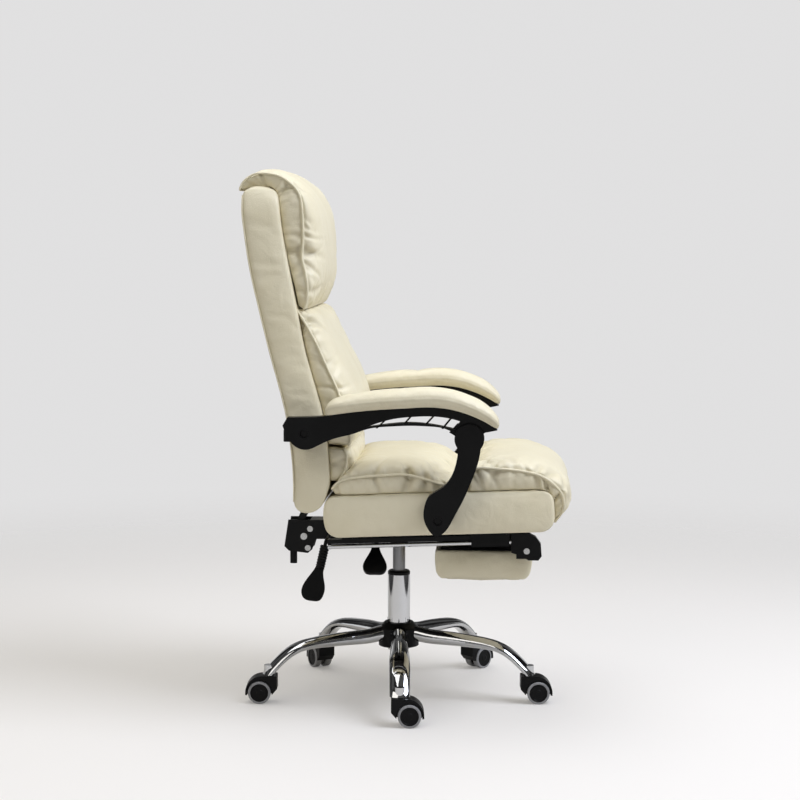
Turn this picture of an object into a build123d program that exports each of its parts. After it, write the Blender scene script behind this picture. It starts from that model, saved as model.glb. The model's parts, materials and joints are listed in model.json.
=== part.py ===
from build123d import *

import os
from math import cos, radians, sin, tan

# Reclining office chair with a slide-out footrest, in millimetres.
# +X is the chair's front, +Y the sitter's left and +Z up.
# The origin is on the floor, under the axis of the gas column.

os.makedirs("parts", exist_ok=True)

# ---------------------------------------------------------------- driving dimensions

running_clearance = 0.05        # radial, for everything that turns or slides in a bore
soft_clearance = 0.3            # between upholstery and its neighbours

# five-arm base
leg_count = 5
first_leg_angle = -86.3         # the leg that points to the chair's right side
stem_reach = 302.0              # from the column axis to each caster stem
leg_foot_height = 63.5          # underside of a leg's tip
leg_wall = 2.0
hub_radius = 31.0
hub_bottom = 112.0
hub_top = 160.0
cover_radius = 45.0
cover_wall = 3.0
cover_bottom = 110.0
cover_shoulder = 150.0
cover_top = 163.0
window_height = 138.0           # where the legs come out of the cover
window_width = 37.0
window_depth = 36.6
cover_fin_count = 6
cover_fin_height = 8.0
socket_radius = 11.0            # upright sleeve in a leg's tip
socket_top = 84.0

# twin-wheel casters
wheel_radius = 25.0
wheel_disc_radius = 19.75
wheel_trail = 20.5              # from the stem axis back to the axle
wheel_inner_face = 5.6          # from the caster's mid plane
wheel_outer_face = 21.4
wheel_well_radius = 27.5
axle_radius = 3.0
hood_top = 62.0
hood_rear = -18.5
hood_arc_radius = 37.0
hood_half_width = 20.0
web_half_width = 5.2
stem_radius = 5.5
stem_bottom = 38.0
stem_collar_radius = 9.0
caster_headings = (3.3, 3.3, 46.3, 121.3, 183.3)

# gas column
column_radius = 25.0
column_wall = 2.0
column_bottom = 100.0
column_top = 271.0
column_taper = 1.0              # degrees, on the part pressed into the hub
column_floor = 4.0
bush_depth = 56.0
bush_flange = 9.0
cylinder_radius = 14.0
cylinder_bottom = 180.0
cylinder_top = 362.0
cylinder_wall = 2.0
cylinder_nose_radius = 13.2     # top of the taper that seats in the seat mechanism
rod_radius = 5.0
rod_top = 272.0
bearing_height = 6.0
valve_button_height = 4.0
valve_button_radius = 4.0

# seat, built on a plane that tips back with the seat
seat_height = 394.6             # underside of the seat on the column axis
seat_tilt = 2.3                 # degrees, front edge raised
seat_rear = -144.0
seat_front = 343.0
seat_half_width = 255.0
seat_box_depth = 90.0
seat_corner_radius = 29.0
board_rear = -118.0
board_front = 315.0
board_side_cover = 23.0         # padding beside the board
board_half_width = seat_half_width - board_side_cover
board_thickness = 12.0
block_length = 75.0             # hardwood blocks that take the strut bolts
block_width = 20.0
block_height = 50.0

# seat mechanism, a pressed steel pan under the board
pan_half_length = 82.0
pan_half_width = 62.0
pan_depth = 42.0
pan_wall = 3.0
pan_flange_half_length = 118.0
pan_flange_half_width = 85.0
pan_bolt_x = 106.0
pan_bolt_y = 72.0
boss_radius = 20.0
boss_bottom = 340.0
boss_top = 358.0
bolt_radius = 4.0
bolt_head_radius = 6.5
bolt_head_height = 4.5

# recline hinge and lock under the back
recline_x, recline_z = -212.0, 358.0
recline_angle_max = 36.0
bracket_half_width = 28.0
bracket_wall = 3.0
recline_pin_radius = 5.0
sector_radius = 34.0
sector_half_width = 6.0
sector_first, sector_last = 176.0, 228.0
sector_notch_count = 5          # one for each locked position of the back
sector_notch_radius = 2.6
plunger_offset = -26.0          # behind the recline hinge
plunger_radius = 4.0
plunger_housing_radius = 8.0
plunger_bottom = 293.0
plunger_tip = 332.4

# back
back_inset = 10.0               # of the back's side from the seat's
back_half_width = seat_half_width - back_inset
back_board_x, back_board_z = -172.0, 470.0
back_board_lean = 8.2           # degrees from upright
back_board_length = 440.0
back_board_thickness = 12.0
back_board_half_width = 215.0
back_bar_depth = 16.0
back_bar_half_width = 22.0
back_bar_reach = 240.0          # how far the bar runs up the board

# arm linkage: back pivot, knuckle and seat pivot, seen from the side
arm_pivot_x, arm_pivot_z = -183.0, 617.0
knuckle_x, knuckle_z = 162.0, 609.0
strut_pivot_x, strut_pivot_z = 97.0, 436.0
arm_gap = 20.0                  # between the seat's side and an armrest's inner face
arm_half_thickness = 13.0
arm_mid = seat_half_width + arm_gap + arm_half_thickness
pad_half_width = 37.0
knuckle_radius = 31.0
knuckle_lug_radius = 24.0
knuckle_lug_half_thickness = 5.5
knuckle_slot_half_width = 6.0
knuckle_pin_radius = 5.0
knuckle_play = 4.6              # room for the pin in the lug while the back reclines
pivot_bolt_radius = 5.0
pivot_head_radius = 8.0
pivot_head_height = 5.0
pivot_recess_radius = 9.0
pivot_recess_depth = 11.0
pivot_spacer_radius = 13.0
strap_thickness = 5.0
strap_height = 24.0
strap_drop = 10.0               # of the strap's mid line below the back pivot
strap_mid_height = arm_pivot_z - strap_drop
strap_rear = -232.0
strap_gap = 6.0                 # between the back's side and the strap's forward ends
strap_side = back_half_width + strap_gap
strap_bolt_y = 150.0

# footrest
footrest_rod_radius = 5.0
footrest_rod_y = 200.0
footrest_rod_depth = -25.5      # rod axis below the seat's underside
footrest_rod_rear = -143.0
footrest_rod_front = 276.0
stop_ring_radius = 6.0
stop_ring_length = 7.0
guide_rear = 165.0
guide_front = 246.0
guide_half_width = 14.0
guide_depth = 33.0
rail_half_width = 8.0
rail_top = -9.0
rail_bottom = -19.0
rail_foot_rear = -112.0
rail_foot_length = 26.0
knuckle_block_half_width = 11.0
footrest_pivot_x, footrest_pivot_z = 284.0, 361.0
footrest_screw_radius = 4.0
footrest_screw_head = 6.5
footrest_rear = 86.0
footrest_front = 297.0
footrest_bottom = 291.0
footrest_top = 356.0
footrest_half_width = 183.0
footrest_board_thickness = 9.0
footrest_board_margin = 14.0
hinge_plate_thickness = 3.0
crossbar_size = 14.0
crossbar_rear = 253.0
crossbar_bottom = 365.0

# levers
lever_radius = 4.0
height_hole_radius = 5.0        # in the pan's wall, around the height lever
recline_hole_radius = 4.5       # in the bracket's plate, around the recline lever
paddle_width = 52.0
paddle_thickness = 12.0

# ---------------------------------------------------------------- shared planes and helpers

seat_plane = Plane(
    origin=(0, 0, seat_height),
    x_dir=(cos(radians(seat_tilt)), 0, sin(radians(seat_tilt))),
    z_dir=(-sin(radians(seat_tilt)), 0, cos(radians(seat_tilt))),
)
seat_side = Plane(origin=seat_plane.origin, x_dir=seat_plane.x_dir, z_dir=(0, -1, 0))
back_board_side = Plane(
    origin=(back_board_x, 0, back_board_z),
    x_dir=(-sin(radians(back_board_lean)), 0, cos(radians(back_board_lean))),
    z_dir=(0, -1, 0),
)


def side_plane(distance):
    """The chair's side view, moved to a distance along +Y."""
    return Plane.XZ.offset(-distance)


def seat_point(along, across, up):
    """A point in the chair's frame from one in the seat's tipped frame."""
    return seat_plane.from_local_coords(Vector(along, across, up))


def taper_radius(height):
    """Outer radius of the column, which narrows below the top of the hub."""
    return column_radius - max(0.0, hub_top - height) * tan(radians(column_taper))


# ---------------------------------------------------------------- five-arm base

# a leg's stations: reach, height, slope in degrees, width and depth of its oval
leg_root = 22.0
drawn_stem_reach = 302.0        # the stem's reach at which the stations are drawn
drawn_leg_stations = (
    (22.0, 136.5, -3.0, 34.0, 34.0),
    (66.0, 134.0, -3.0, 36.0, 33.0),
    (110.0, 131.5, -3.0, 38.0, 31.0),
    (154.0, 129.5, -3.0, 41.0, 28.5),
    (196.0, 126.5, -6.0, 43.5, 25.0),
    (232.0, 119.5, -20.0, 45.0, 22.0),
    (262.0, 104.0, -35.0, 45.0, 20.3),
    (287.0, 82.5, -47.0, 44.0, 19.3),
    (309.0, 54.0, -57.0, 42.0, 18.5),
)
leg_stretch = (stem_reach - leg_root) / (drawn_stem_reach - leg_root)
leg_stations = [
    (leg_root + (reach - leg_root) * leg_stretch, height, slope, width, depth)
    for reach, height, slope, width, depth in drawn_leg_stations
]

with BuildPart() as leg_body:
    for reach, height, slope, width, depth in leg_stations:
        tangent = (cos(radians(slope)), 0, sin(radians(slope)))
        with BuildSketch(Plane(origin=(reach, 0, height), x_dir=(0, 1, 0), z_dir=tangent)):
            Ellipse(width / 2, depth / 2)
    loft()

with BuildPart() as star_leg:
    add(leg_body.part)
    for reach, height, slope, width, depth in leg_stations:
        tangent = (cos(radians(slope)), 0, sin(radians(slope)))
        with BuildSketch(Plane(origin=(reach, 0, height), x_dir=(0, 1, 0), z_dir=tangent)):
            Ellipse(width / 2 - leg_wall, depth / 2 - leg_wall)
    loft(mode=Mode.SUBTRACT)
    split(bisect_by=Plane.XY.offset(leg_foot_height), keep=Keep.TOP)
    with BuildSketch(Plane.XY.offset(leg_foot_height)):
        with Locations((stem_reach, 0)):
            Circle(socket_radius)
    extrude(amount=socket_top - leg_foot_height)

with BuildPart() as star_base:
    with BuildSketch(Plane.XY.offset(hub_bottom)):
        Circle(hub_radius)
    extrude(amount=hub_top - hub_bottom)
    with PolarLocations(0, leg_count, start_angle=first_leg_angle):
        add(star_leg.part)
    with BuildSketch(Plane.XZ):
        with BuildLine():
            Polyline(
                (0, hub_bottom), (taper_radius(hub_bottom), hub_bottom),
                (taper_radius(hub_top), hub_top), (0, hub_top), close=True,
            )
        make_face()
    revolve(axis=Axis.Z, mode=Mode.SUBTRACT)
    with BuildSketch(Plane.XY.offset(leg_foot_height)):
        with PolarLocations(stem_reach, leg_count, start_angle=first_leg_angle):
            Circle(stem_radius)
    extrude(amount=socket_top - leg_foot_height - 2, mode=Mode.SUBTRACT)

star_base.part.label = "star_base"
export_step(star_base.part, "parts/star_base.step")

with BuildPart() as hub_cover:
    bore = column_radius + soft_clearance
    with BuildSketch(Plane.XZ):
        with BuildLine():
            Polyline(
                (cover_radius, cover_bottom), (cover_radius, cover_shoulder),
                (cover_radius - 13, cover_top), (bore, cover_top), (bore, hub_top),
                (hub_radius, hub_top), (cover_radius - cover_wall, cover_shoulder - 1),
                (cover_radius - cover_wall, cover_bottom), close=True,
            )
        make_face()
    revolve(axis=Axis.Z)
    with BuildSketch(Plane.YZ.offset(hub_radius - 1)) as leg_window:
        with Locations((0, window_height)):
            Ellipse(window_width / 2, window_depth / 2)
    for leg in range(leg_count):
        turn = Location((0, 0, 0), (0, 0, first_leg_angle + leg * 360 / leg_count))
        extrude(leg_window.sketch.moved(turn), amount=20, mode=Mode.SUBTRACT)
    with PolarLocations(bore + 2, cover_fin_count, start_angle=first_leg_angle):
        with Locations((0, 0, cover_top - 1)):
            Box(3, 2, cover_fin_height, align=(Align.CENTER, Align.CENTER, Align.MIN))

hub_cover.part.label = "hub_cover"
export_step(hub_cover.part, "parts/hub_cover.step")

with BuildPart() as caster_stems:
    with BuildSketch(Plane.XY.offset(stem_bottom)):
        with PolarLocations(stem_reach, leg_count, start_angle=first_leg_angle):
            Circle(stem_radius)
    extrude(amount=socket_top - 2 - stem_bottom)
    with BuildSketch(Plane.XY.offset(hood_top + soft_clearance)):
        with PolarLocations(stem_reach, leg_count, start_angle=first_leg_angle):
            Circle(stem_collar_radius)
    extrude(amount=leg_foot_height - hood_top - soft_clearance)

caster_stems.part.label = "caster_stems"
export_step(caster_stems.part, "parts/caster_stems.step")

# ---------------------------------------------------------------- casters

with BuildPart() as caster_hood:
    arc_x = hood_rear + 33
    with BuildSketch(Plane.XZ):
        with BuildLine():
            Line((hood_rear, 33), (hood_rear, hood_top))
            Line((hood_rear, hood_top), (arc_x, hood_top))
            CenterArc((arc_x, wheel_radius), hood_arc_radius, 0, 90)
            Polyline(
                (arc_x + hood_arc_radius, wheel_radius), (arc_x + hood_arc_radius, 20),
                (wheel_trail, 16), (-8, 21), (hood_rear, 33),
            )
        make_face()
    extrude(amount=hood_half_width, both=True)
    fillet(caster_hood.edges().filter_by(Axis.Y).group_by(Axis.Z)[-1].sort_by(Axis.X)[0], 3)
    for side in (-1, 1):
        with Locations((wheel_trail, side * (web_half_width + hood_half_width), wheel_radius)):
            Cylinder(wheel_well_radius, 2 * hood_half_width, rotation=(90, 0, 0), mode=Mode.SUBTRACT)
    with Locations((wheel_trail, 0, wheel_radius)):
        Cylinder(axle_radius + running_clearance, 40, rotation=(90, 0, 0), mode=Mode.SUBTRACT)
    with BuildSketch(Plane.XY.offset(stem_bottom)):
        Circle(stem_radius + running_clearance)
    extrude(amount=hood_top, mode=Mode.SUBTRACT)

axle_plane = Plane(origin=(wheel_trail, 0, wheel_radius))
axle_axis = Axis((wheel_trail, 0, wheel_radius), (0, 1, 0))

with BuildPart() as caster_wheels:
    with BuildSketch(axle_plane):
        with BuildLine():
            Polyline(
                (axle_radius, wheel_inner_face), (wheel_disc_radius, wheel_inner_face),
                (wheel_disc_radius, wheel_outer_face), (wheel_disc_radius - 2.5, wheel_outer_face),
                (wheel_disc_radius - 3.5, wheel_outer_face - 1.2), (7.5, wheel_outer_face - 1.2),
                (6.5, wheel_outer_face - 0.4), (axle_radius, wheel_outer_face - 0.4), close=True,
            )
        make_face()
    revolve(axis=axle_axis)
    mirror(about=Plane.XZ)

with BuildPart() as caster_axle:
    with Locations((wheel_trail, 0, wheel_radius)):
        Cylinder(axle_radius, 2 * (wheel_outer_face - 0.4), rotation=(90, 0, 0))

with BuildPart() as caster_tyres:
    with BuildSketch(axle_plane):
        with BuildLine():
            Polyline(
                (wheel_disc_radius, wheel_inner_face + 0.4), (wheel_radius - 1.5, wheel_inner_face + 0.4),
                (wheel_radius, wheel_inner_face + 2), (wheel_radius, wheel_outer_face - 2),
                (wheel_radius - 1.5, wheel_outer_face - 0.4), (wheel_disc_radius, wheel_outer_face - 0.4),
                close=True,
            )
        make_face()
    revolve(axis=axle_axis)
    mirror(about=Plane.XZ)

for number, heading in enumerate(caster_headings, start=1):
    bearing = radians(first_leg_angle + (number - 1) * 360 / leg_count)
    place = Location((stem_reach * cos(bearing), stem_reach * sin(bearing), 0), (0, 0, heading))
    with BuildPart() as hood_in_place:
        add(caster_hood.part.moved(place))
    hood_in_place.part.label = f"caster_hood_{number}"
    export_step(hood_in_place.part, f"parts/caster_hood_{number}.step")
    wheels_in_place = Compound(
        children=[*(wheel.moved(place) for wheel in caster_wheels.part.solids()),
                  caster_axle.part.solid().moved(place)]
    )
    wheels_in_place.label = f"caster_wheels_{number}"
    export_step(wheels_in_place, f"parts/caster_wheels_{number}.step")
    with BuildPart() as tyres_in_place:
        add(caster_tyres.part.moved(place))
    tyres_in_place.part.label = f"caster_tyres_{number}"
    export_step(tyres_in_place.part, f"parts/caster_tyres_{number}.step")

# ---------------------------------------------------------------- gas column

floor_top = column_bottom + column_floor
bearing_top = floor_top + bearing_height

with BuildPart() as column_tube:
    with BuildSketch(Plane.XZ):
        with BuildLine():
            Polyline(
                (rod_radius + running_clearance, column_bottom),
                (taper_radius(column_bottom), column_bottom), (column_radius, hub_top),
                (column_radius, column_top), (column_radius - column_wall, column_top),
                (column_radius - column_wall, hub_top),
                (taper_radius(floor_top) - column_wall, floor_top),
                (rod_radius + running_clearance, floor_top), close=True,
            )
        make_face()
    revolve(axis=Axis.Z)

column_tube.part.label = "column_tube"
export_step(column_tube.part, "parts/column_tube.step")

with BuildPart() as column_bush:
    with BuildSketch(Plane.XZ):
        with BuildLine():
            Polyline(
                (cylinder_radius + running_clearance, column_top - bush_depth),
                (column_radius - column_wall, column_top - bush_depth),
                (column_radius - column_wall, column_top), (column_radius, column_top),
                (column_radius, column_top + bush_flange - 3),
                (column_radius - 3, column_top + bush_flange),
                (cylinder_radius + running_clearance, column_top + bush_flange), close=True,
            )
        make_face()
    revolve(axis=Axis.Z)

column_bush.part.label = "column_bush"
export_step(column_bush.part, "parts/column_bush.step")

# two washers with a ball cage between them
with BuildPart() as thrust_bearing:
    for level, outer, thickness in ((0, 15, 1.5), (1.5, 13, 3), (4.5, 15, 1.5)):
        with BuildSketch(Plane.XY.offset(floor_top + level)):
            Circle(outer)
            Circle(rod_radius + running_clearance, mode=Mode.SUBTRACT)
        extrude(amount=thickness)

thrust_bearing.part.label = "thrust_bearing"
export_step(thrust_bearing.part, "parts/thrust_bearing.step")

with BuildPart() as rod_shaft:
    clip_bottom = column_bottom - 5
    with BuildSketch(Plane.XZ):
        with BuildLine():
            Polyline(
                (0, clip_bottom - 3), (rod_radius, clip_bottom - 3), (rod_radius, clip_bottom),
                (rod_radius - 1, clip_bottom), (rod_radius - 1, clip_bottom + 2),
                (rod_radius, clip_bottom + 2), (rod_radius, bearing_top),
                (rod_radius + 3, bearing_top), (rod_radius + 3, bearing_top + 4),
                (rod_radius, bearing_top + 4), (rod_radius, rod_top - 10),
                (cylinder_radius - cylinder_wall - running_clearance, rod_top - 10),
                (cylinder_radius - cylinder_wall - running_clearance, rod_top), (0, rod_top),
                close=True,
            )
        make_face()
    revolve(axis=Axis.Z)

with BuildPart() as rod_clip:
    with BuildSketch(Plane.XY.offset(clip_bottom)):
        Circle(rod_radius + 4)
        Circle(rod_radius - 1, mode=Mode.SUBTRACT)
    extrude(amount=2)

piston_rod = Compound(children=[rod_shaft.part.solid(), rod_clip.part.solid()])
piston_rod.label = "piston_rod"
export_step(piston_rod, "parts/piston_rod.step")

with BuildPart() as gas_cylinder:
    gland = cylinder_bottom + 10
    with BuildSketch(Plane.XZ):
        with BuildLine():
            Polyline(
                (0, gland), (cylinder_radius - cylinder_wall, gland),
                (cylinder_radius - cylinder_wall, boss_bottom), (0, boss_bottom),
                (0, cylinder_top + valve_button_height),
                (valve_button_radius, cylinder_top + valve_button_height),
                (valve_button_radius, cylinder_top), (cylinder_nose_radius, cylinder_top),
                (cylinder_radius, boss_bottom), (cylinder_radius, cylinder_bottom),
                (0, cylinder_bottom), close=True,
            )
        make_face()
    revolve(axis=Axis.Z)
    with BuildSketch(Plane.XY.offset(cylinder_bottom)):
        Circle(rod_radius + running_clearance)
    extrude(amount=gland - cylinder_bottom, mode=Mode.SUBTRACT)

gas_cylinder.part.label = "gas_cylinder"
export_step(gas_cylinder.part, "parts/gas_cylinder.step")

# ---------------------------------------------------------------- seat mechanism

lever_start = Vector(-8, -6, 377)
lever_bend = Vector(-44, -122, 361)
lever_end = Vector(-45, -137, 338)
lever_pivot = lever_start + (lever_bend - lever_start) * (
    (pan_half_width - pan_wall / 2 + lever_start.Y) / (lever_start.Y - lever_bend.Y)
)
recline_lever_start = Vector(-150, -16, 368)
recline_lever_bend = Vector(-151, -142, 368)
recline_lever_end = Vector(-164, -158, 306)

with BuildPart() as seat_mechanism:
    with BuildSketch(seat_plane):
        RectangleRounded(2 * pan_flange_half_length, 2 * pan_flange_half_width, 14)
        with GridLocations(2 * pan_bolt_x, 2 * pan_bolt_y, 2, 2):
            Circle(bolt_radius, mode=Mode.SUBTRACT)
    extrude(amount=-pan_wall)
    with BuildSketch(seat_plane):
        RectangleRounded(2 * pan_half_length, 2 * pan_half_width, 12)
    extrude(amount=-pan_depth)
    with BuildSketch(seat_plane):
        RectangleRounded(2 * (pan_half_length - pan_wall), 2 * (pan_half_width - pan_wall), 9)
    extrude(amount=pan_wall - pan_depth, mode=Mode.SUBTRACT)
    with BuildSketch(Plane.XY.offset(boss_bottom)):
        Circle(boss_radius)
    extrude(amount=boss_top - boss_bottom)
    with BuildSketch(Plane.XZ):
        with BuildLine():
            Polyline(
                (0, boss_bottom), (cylinder_radius, boss_bottom),
                (cylinder_nose_radius, cylinder_top), (0, cylinder_top), close=True,
            )
        make_face()
    revolve(axis=Axis.Z, mode=Mode.SUBTRACT)
    with Locations((lever_pivot.X, lever_pivot.Y, lever_pivot.Z)):
        Cylinder(height_hole_radius, 4 * pan_wall, rotation=(90, 0, 0), mode=Mode.SUBTRACT)

seat_mechanism.part.label = "seat_mechanism"
export_step(seat_mechanism.part, "parts/seat_mechanism.step")

plunger_x = recline_x + plunger_offset
bracket_bolts = ((-198.0, 375.0), (-203.0, 332.0))
bracket_floor = 324.0
bracket_joint = seat_point(-pan_half_length, 0, -pan_wall)
bracket_foot = seat_point(-pan_half_length, 0, 4 - pan_depth)
bracket_shoulder = seat_point(-150, 0, -pan_wall)

with BuildPart() as recline_bracket:
    with BuildSketch(Plane.XZ) as bracket_outline:
        with BuildLine():
            Polyline(
                (bracket_joint.X, bracket_joint.Z), (bracket_shoulder.X, bracket_shoulder.Z),
                (-166, 395), (-247, 395), (-256, 335), (-246, 325), (-203, 320), (-193, 329),
                (-186, 352), (bracket_foot.X, bracket_foot.Z), close=True,
            )
        make_face()
    extrude(amount=bracket_half_width, both=True)
    with BuildSketch(Plane.XZ):
        with BuildLine():
            Polyline(
                (bracket_joint.X - bracket_wall, 300), (bracket_joint.X - bracket_wall, 420),
                (-166, 420), (-166, 395 - bracket_wall), (-198, 395 - bracket_wall), (-198, 420),
                (-280, 420), (-280, 300), (-247, 300), (-247, bracket_floor + bracket_wall),
                (-229, bracket_floor + bracket_wall), (-229, 300), close=True,
            )
        make_face()
    extrude(amount=bracket_half_width - bracket_wall, both=True, mode=Mode.SUBTRACT)
    with BuildSketch(Plane.XY.offset(plunger_bottom)):
        with Locations((plunger_x, 0)):
            Circle(plunger_housing_radius)
    extrude(amount=bracket_floor - plunger_bottom)
    with BuildSketch(Plane.XY.offset(plunger_bottom)):
        with Locations((plunger_x, 0)):
            Circle(plunger_radius + running_clearance)
    extrude(amount=bracket_floor + bracket_wall - plunger_bottom, mode=Mode.SUBTRACT)
    for x, z, radius in ((recline_x, recline_z, recline_pin_radius),
                         *((bx, bz, bolt_radius) for bx, bz in bracket_bolts)):
        with Locations((x, 0, z)):
            Cylinder(radius, 80, rotation=(90, 0, 0), mode=Mode.SUBTRACT)
    with Locations((recline_lever_start.X, -bracket_half_width, recline_lever_start.Z)):
        Cylinder(recline_hole_radius, 3 * bracket_wall, rotation=(90, 0, 0), mode=Mode.SUBTRACT)

recline_bracket.part.label = "recline_bracket"
export_step(recline_bracket.part, "parts/recline_bracket.step")

with BuildPart() as frame_bolts:
    with BuildSketch(seat_plane.offset(-pan_wall)):
        with GridLocations(2 * pan_bolt_x, 2 * pan_bolt_y, 2, 2):
            Circle(bolt_head_radius)
    extrude(amount=-bolt_head_height)
    with BuildSketch(seat_plane.offset(-pan_wall)):
        with GridLocations(2 * pan_bolt_x, 2 * pan_bolt_y, 2, 2):
            Circle(bolt_radius)
    extrude(amount=pan_wall + board_thickness - 3)
    for x, z in bracket_bolts:
        with Locations((x, 0, z)):
            Cylinder(bolt_radius, 2 * bracket_half_width, rotation=(90, 0, 0))
        for side in (-1, 1):
            with Locations((x, side * (bracket_half_width + 1.5), z)):
                Cylinder(bolt_head_radius, 3, rotation=(90, 0, 0))

frame_bolts.part.label = "frame_bolts"
export_step(frame_bolts.part, "parts/frame_bolts.step")

with BuildPart() as recline_pin:
    with Locations((recline_x, 0, recline_z)):
        Cylinder(recline_pin_radius, 2 * bracket_half_width, rotation=(90, 0, 0))
    for side in (-1, 1):
        with Locations((recline_x, side * (bracket_half_width + 1.5), recline_z)):
            Cylinder(recline_pin_radius + 2.5, 3, rotation=(90, 0, 0))

recline_pin.part.label = "recline_pin"
export_step(recline_pin.part, "parts/recline_pin.step")

with BuildPart() as lock_plunger:
    with BuildSketch(Plane.XZ):
        with BuildLine():
            Polyline(
                (plunger_x, plunger_bottom + 6), (plunger_x + plunger_radius, plunger_bottom + 6),
                (plunger_x + plunger_radius, plunger_tip - 4), (plunger_x + 2, plunger_tip),
                (plunger_x, plunger_tip), close=True,
            )
        make_face()
    revolve(axis=Axis((plunger_x, 0, 0), (0, 0, 1)))

lock_plunger.part.label = "lock_plunger"
export_step(lock_plunger.part, "parts/lock_plunger.step")

# ---------------------------------------------------------------- seat

strut_along = seat_plane.to_local_coords(Vector(strut_pivot_x, 0, strut_pivot_z)).X

with BuildPart() as strut_bolts:
    strut_shank_end = arm_mid + arm_half_thickness - pivot_recess_depth
    for radius, inner, outer in (
        (pivot_bolt_radius, board_half_width - block_width, strut_shank_end),
        (pivot_spacer_radius, seat_half_width, arm_mid - arm_half_thickness - soft_clearance),
        (pivot_head_radius, strut_shank_end, strut_shank_end + pivot_head_height),
    ):
        with BuildSketch(side_plane(inner)):
            with Locations((strut_pivot_x, strut_pivot_z)):
                Circle(radius)
        extrude(amount=inner - outer)
    mirror(about=Plane.XZ)

strut_bolts.part.label = "strut_bolts"
export_step(strut_bolts.part, "parts/strut_bolts.step")

with BuildPart() as seat_board:
    with BuildSketch(seat_plane):
        with Locations(((board_rear + board_front) / 2, 0)):
            RectangleRounded(board_front - board_rear, 2 * board_half_width, 20)
        with GridLocations(2 * pan_bolt_x, 2 * pan_bolt_y, 2, 2):
            Circle(bolt_radius, mode=Mode.SUBTRACT)
    extrude(amount=board_thickness)
    with BuildSketch(seat_plane.offset(board_thickness)):
        for side in (-1, 1):
            with Locations((strut_along, side * (board_half_width - block_width / 2))):
                Rectangle(block_length, block_width)
    extrude(amount=block_height)
    add(strut_bolts.part, mode=Mode.SUBTRACT)
    with BuildSketch(seat_plane.offset(board_thickness - 3)):
        with GridLocations(2 * pan_bolt_x, 2 * pan_bolt_y, 2, 2):
            Circle(bolt_radius)
    extrude(amount=3)

seat_board.part.label = "seat_board"
export_step(seat_board.part, "parts/seat_board.step")

with BuildPart() as seat_base_cushion:
    with BuildSketch(seat_side):
        with Locations(((seat_rear + seat_front) / 2, seat_box_depth / 2)):
            RectangleRounded(seat_front - seat_rear, seat_box_depth, seat_corner_radius)
    extrude(amount=seat_half_width, both=True)
    add(seat_board.part, mode=Mode.SUBTRACT)
    with BuildSketch(seat_plane):
        with GridLocations(2 * pan_bolt_x, 2 * pan_bolt_y, 2, 2):
            Circle(bolt_radius)
    extrude(amount=board_thickness, mode=Mode.SUBTRACT)
    add(strut_bolts.part, mode=Mode.SUBTRACT)

seat_base_cushion.part.label = "seat_base_cushion"
export_step(seat_base_cushion.part, "parts/seat_base_cushion.step")

pillow_inset = 5.0
pillow_half_width = seat_half_width - pillow_inset
pillow_base = seat_box_depth + soft_clearance
pillow_side_height = 124.0      # of a pillow's side above the seat's underside
pillow_crown = 173.0

with BuildPart() as seat_rear_cushion:
    with BuildSketch(seat_side):
        with BuildLine():
            Spline((-118, 100), (-98, 136), (-45, 162), (20, 172), (85, 168), (135, 148), (150, 108))
            Polyline((150, 108), (146, pillow_base), (-114, pillow_base), (-118, 100))
        make_face()
    extrude(amount=pillow_half_width, both=True)
    with BuildSketch(Plane(origin=seat_point(0, 0, 0), x_dir=(0, 1, 0), z_dir=seat_plane.x_dir)):
        with BuildLine():
            ThreePointArc((-pillow_half_width, pillow_side_height), (0, pillow_crown),
                          (pillow_half_width, pillow_side_height))
            Polyline((pillow_half_width, pillow_side_height), (pillow_half_width, 0),
                     (-pillow_half_width, 0), (-pillow_half_width, pillow_side_height))
        make_face()
    extrude(amount=400, both=True, mode=Mode.INTERSECT)

seat_rear_cushion.part.label = "seat_rear_cushion"
export_step(seat_rear_cushion.part, "parts/seat_rear_cushion.step")

roll_inset = 32.0               # of the front roll's side from the pillow's
roll_half_width = pillow_half_width - roll_inset

with BuildPart() as seat_front_cushion:
    with BuildSketch(seat_side):
        with BuildLine():
            Spline((158, 106), (172, 148), (215, 166), (268, 163), (315, 150), (350, 132),
                   (371, 106), (381, 74), (376, 44), (358, 22), (334, 14))
            Polyline((334, 14), (300, 30), (300, pillow_base), (160, pillow_base), (158, 106))
        make_face()
    extrude(amount=pillow_half_width, both=True)
    with BuildSketch(Plane(origin=seat_point(0, 0, 0), x_dir=(0, 1, 0), z_dir=seat_plane.x_dir)):
        with BuildLine():
            ThreePointArc((-pillow_half_width, pillow_side_height), (0, pillow_crown),
                          (pillow_half_width, pillow_side_height))
            Polyline((pillow_half_width, pillow_side_height), (pillow_half_width, pillow_base),
                     (roll_half_width, pillow_base), (roll_half_width, 0), (-roll_half_width, 0),
                     (-roll_half_width, pillow_base), (-pillow_half_width, pillow_base),
                     (-pillow_half_width, pillow_side_height))
        make_face()
    extrude(amount=400, both=True, mode=Mode.INTERSECT)
    with BuildSketch(seat_side):
        with Locations(((seat_rear + seat_front) / 2, seat_box_depth / 2)):
            RectangleRounded(seat_front - seat_rear + 2 * soft_clearance, seat_box_depth,
                             seat_corner_radius)
    extrude(amount=seat_half_width, both=True, mode=Mode.SUBTRACT)

seat_front_cushion.part.label = "seat_front_cushion"
export_step(seat_front_cushion.part, "parts/seat_front_cushion.step")

# ---------------------------------------------------------------- footrest runners

with BuildPart() as footrest_rails:
    with BuildSketch(seat_plane.offset(rail_top)):
        with Locations(((footrest_rod_rear + guide_rear) / 2, footrest_rod_y)):
            Rectangle(guide_rear - footrest_rod_rear, 2 * rail_half_width)
    extrude(amount=rail_bottom - rail_top)
    with BuildSketch(seat_plane.offset(rail_top)):
        with Locations((rail_foot_rear + rail_foot_length / 2, footrest_rod_y)):
            Rectangle(rail_foot_length, 2 * rail_half_width)
    extrude(amount=-rail_top)
    mirror(about=Plane.XZ)

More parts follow.
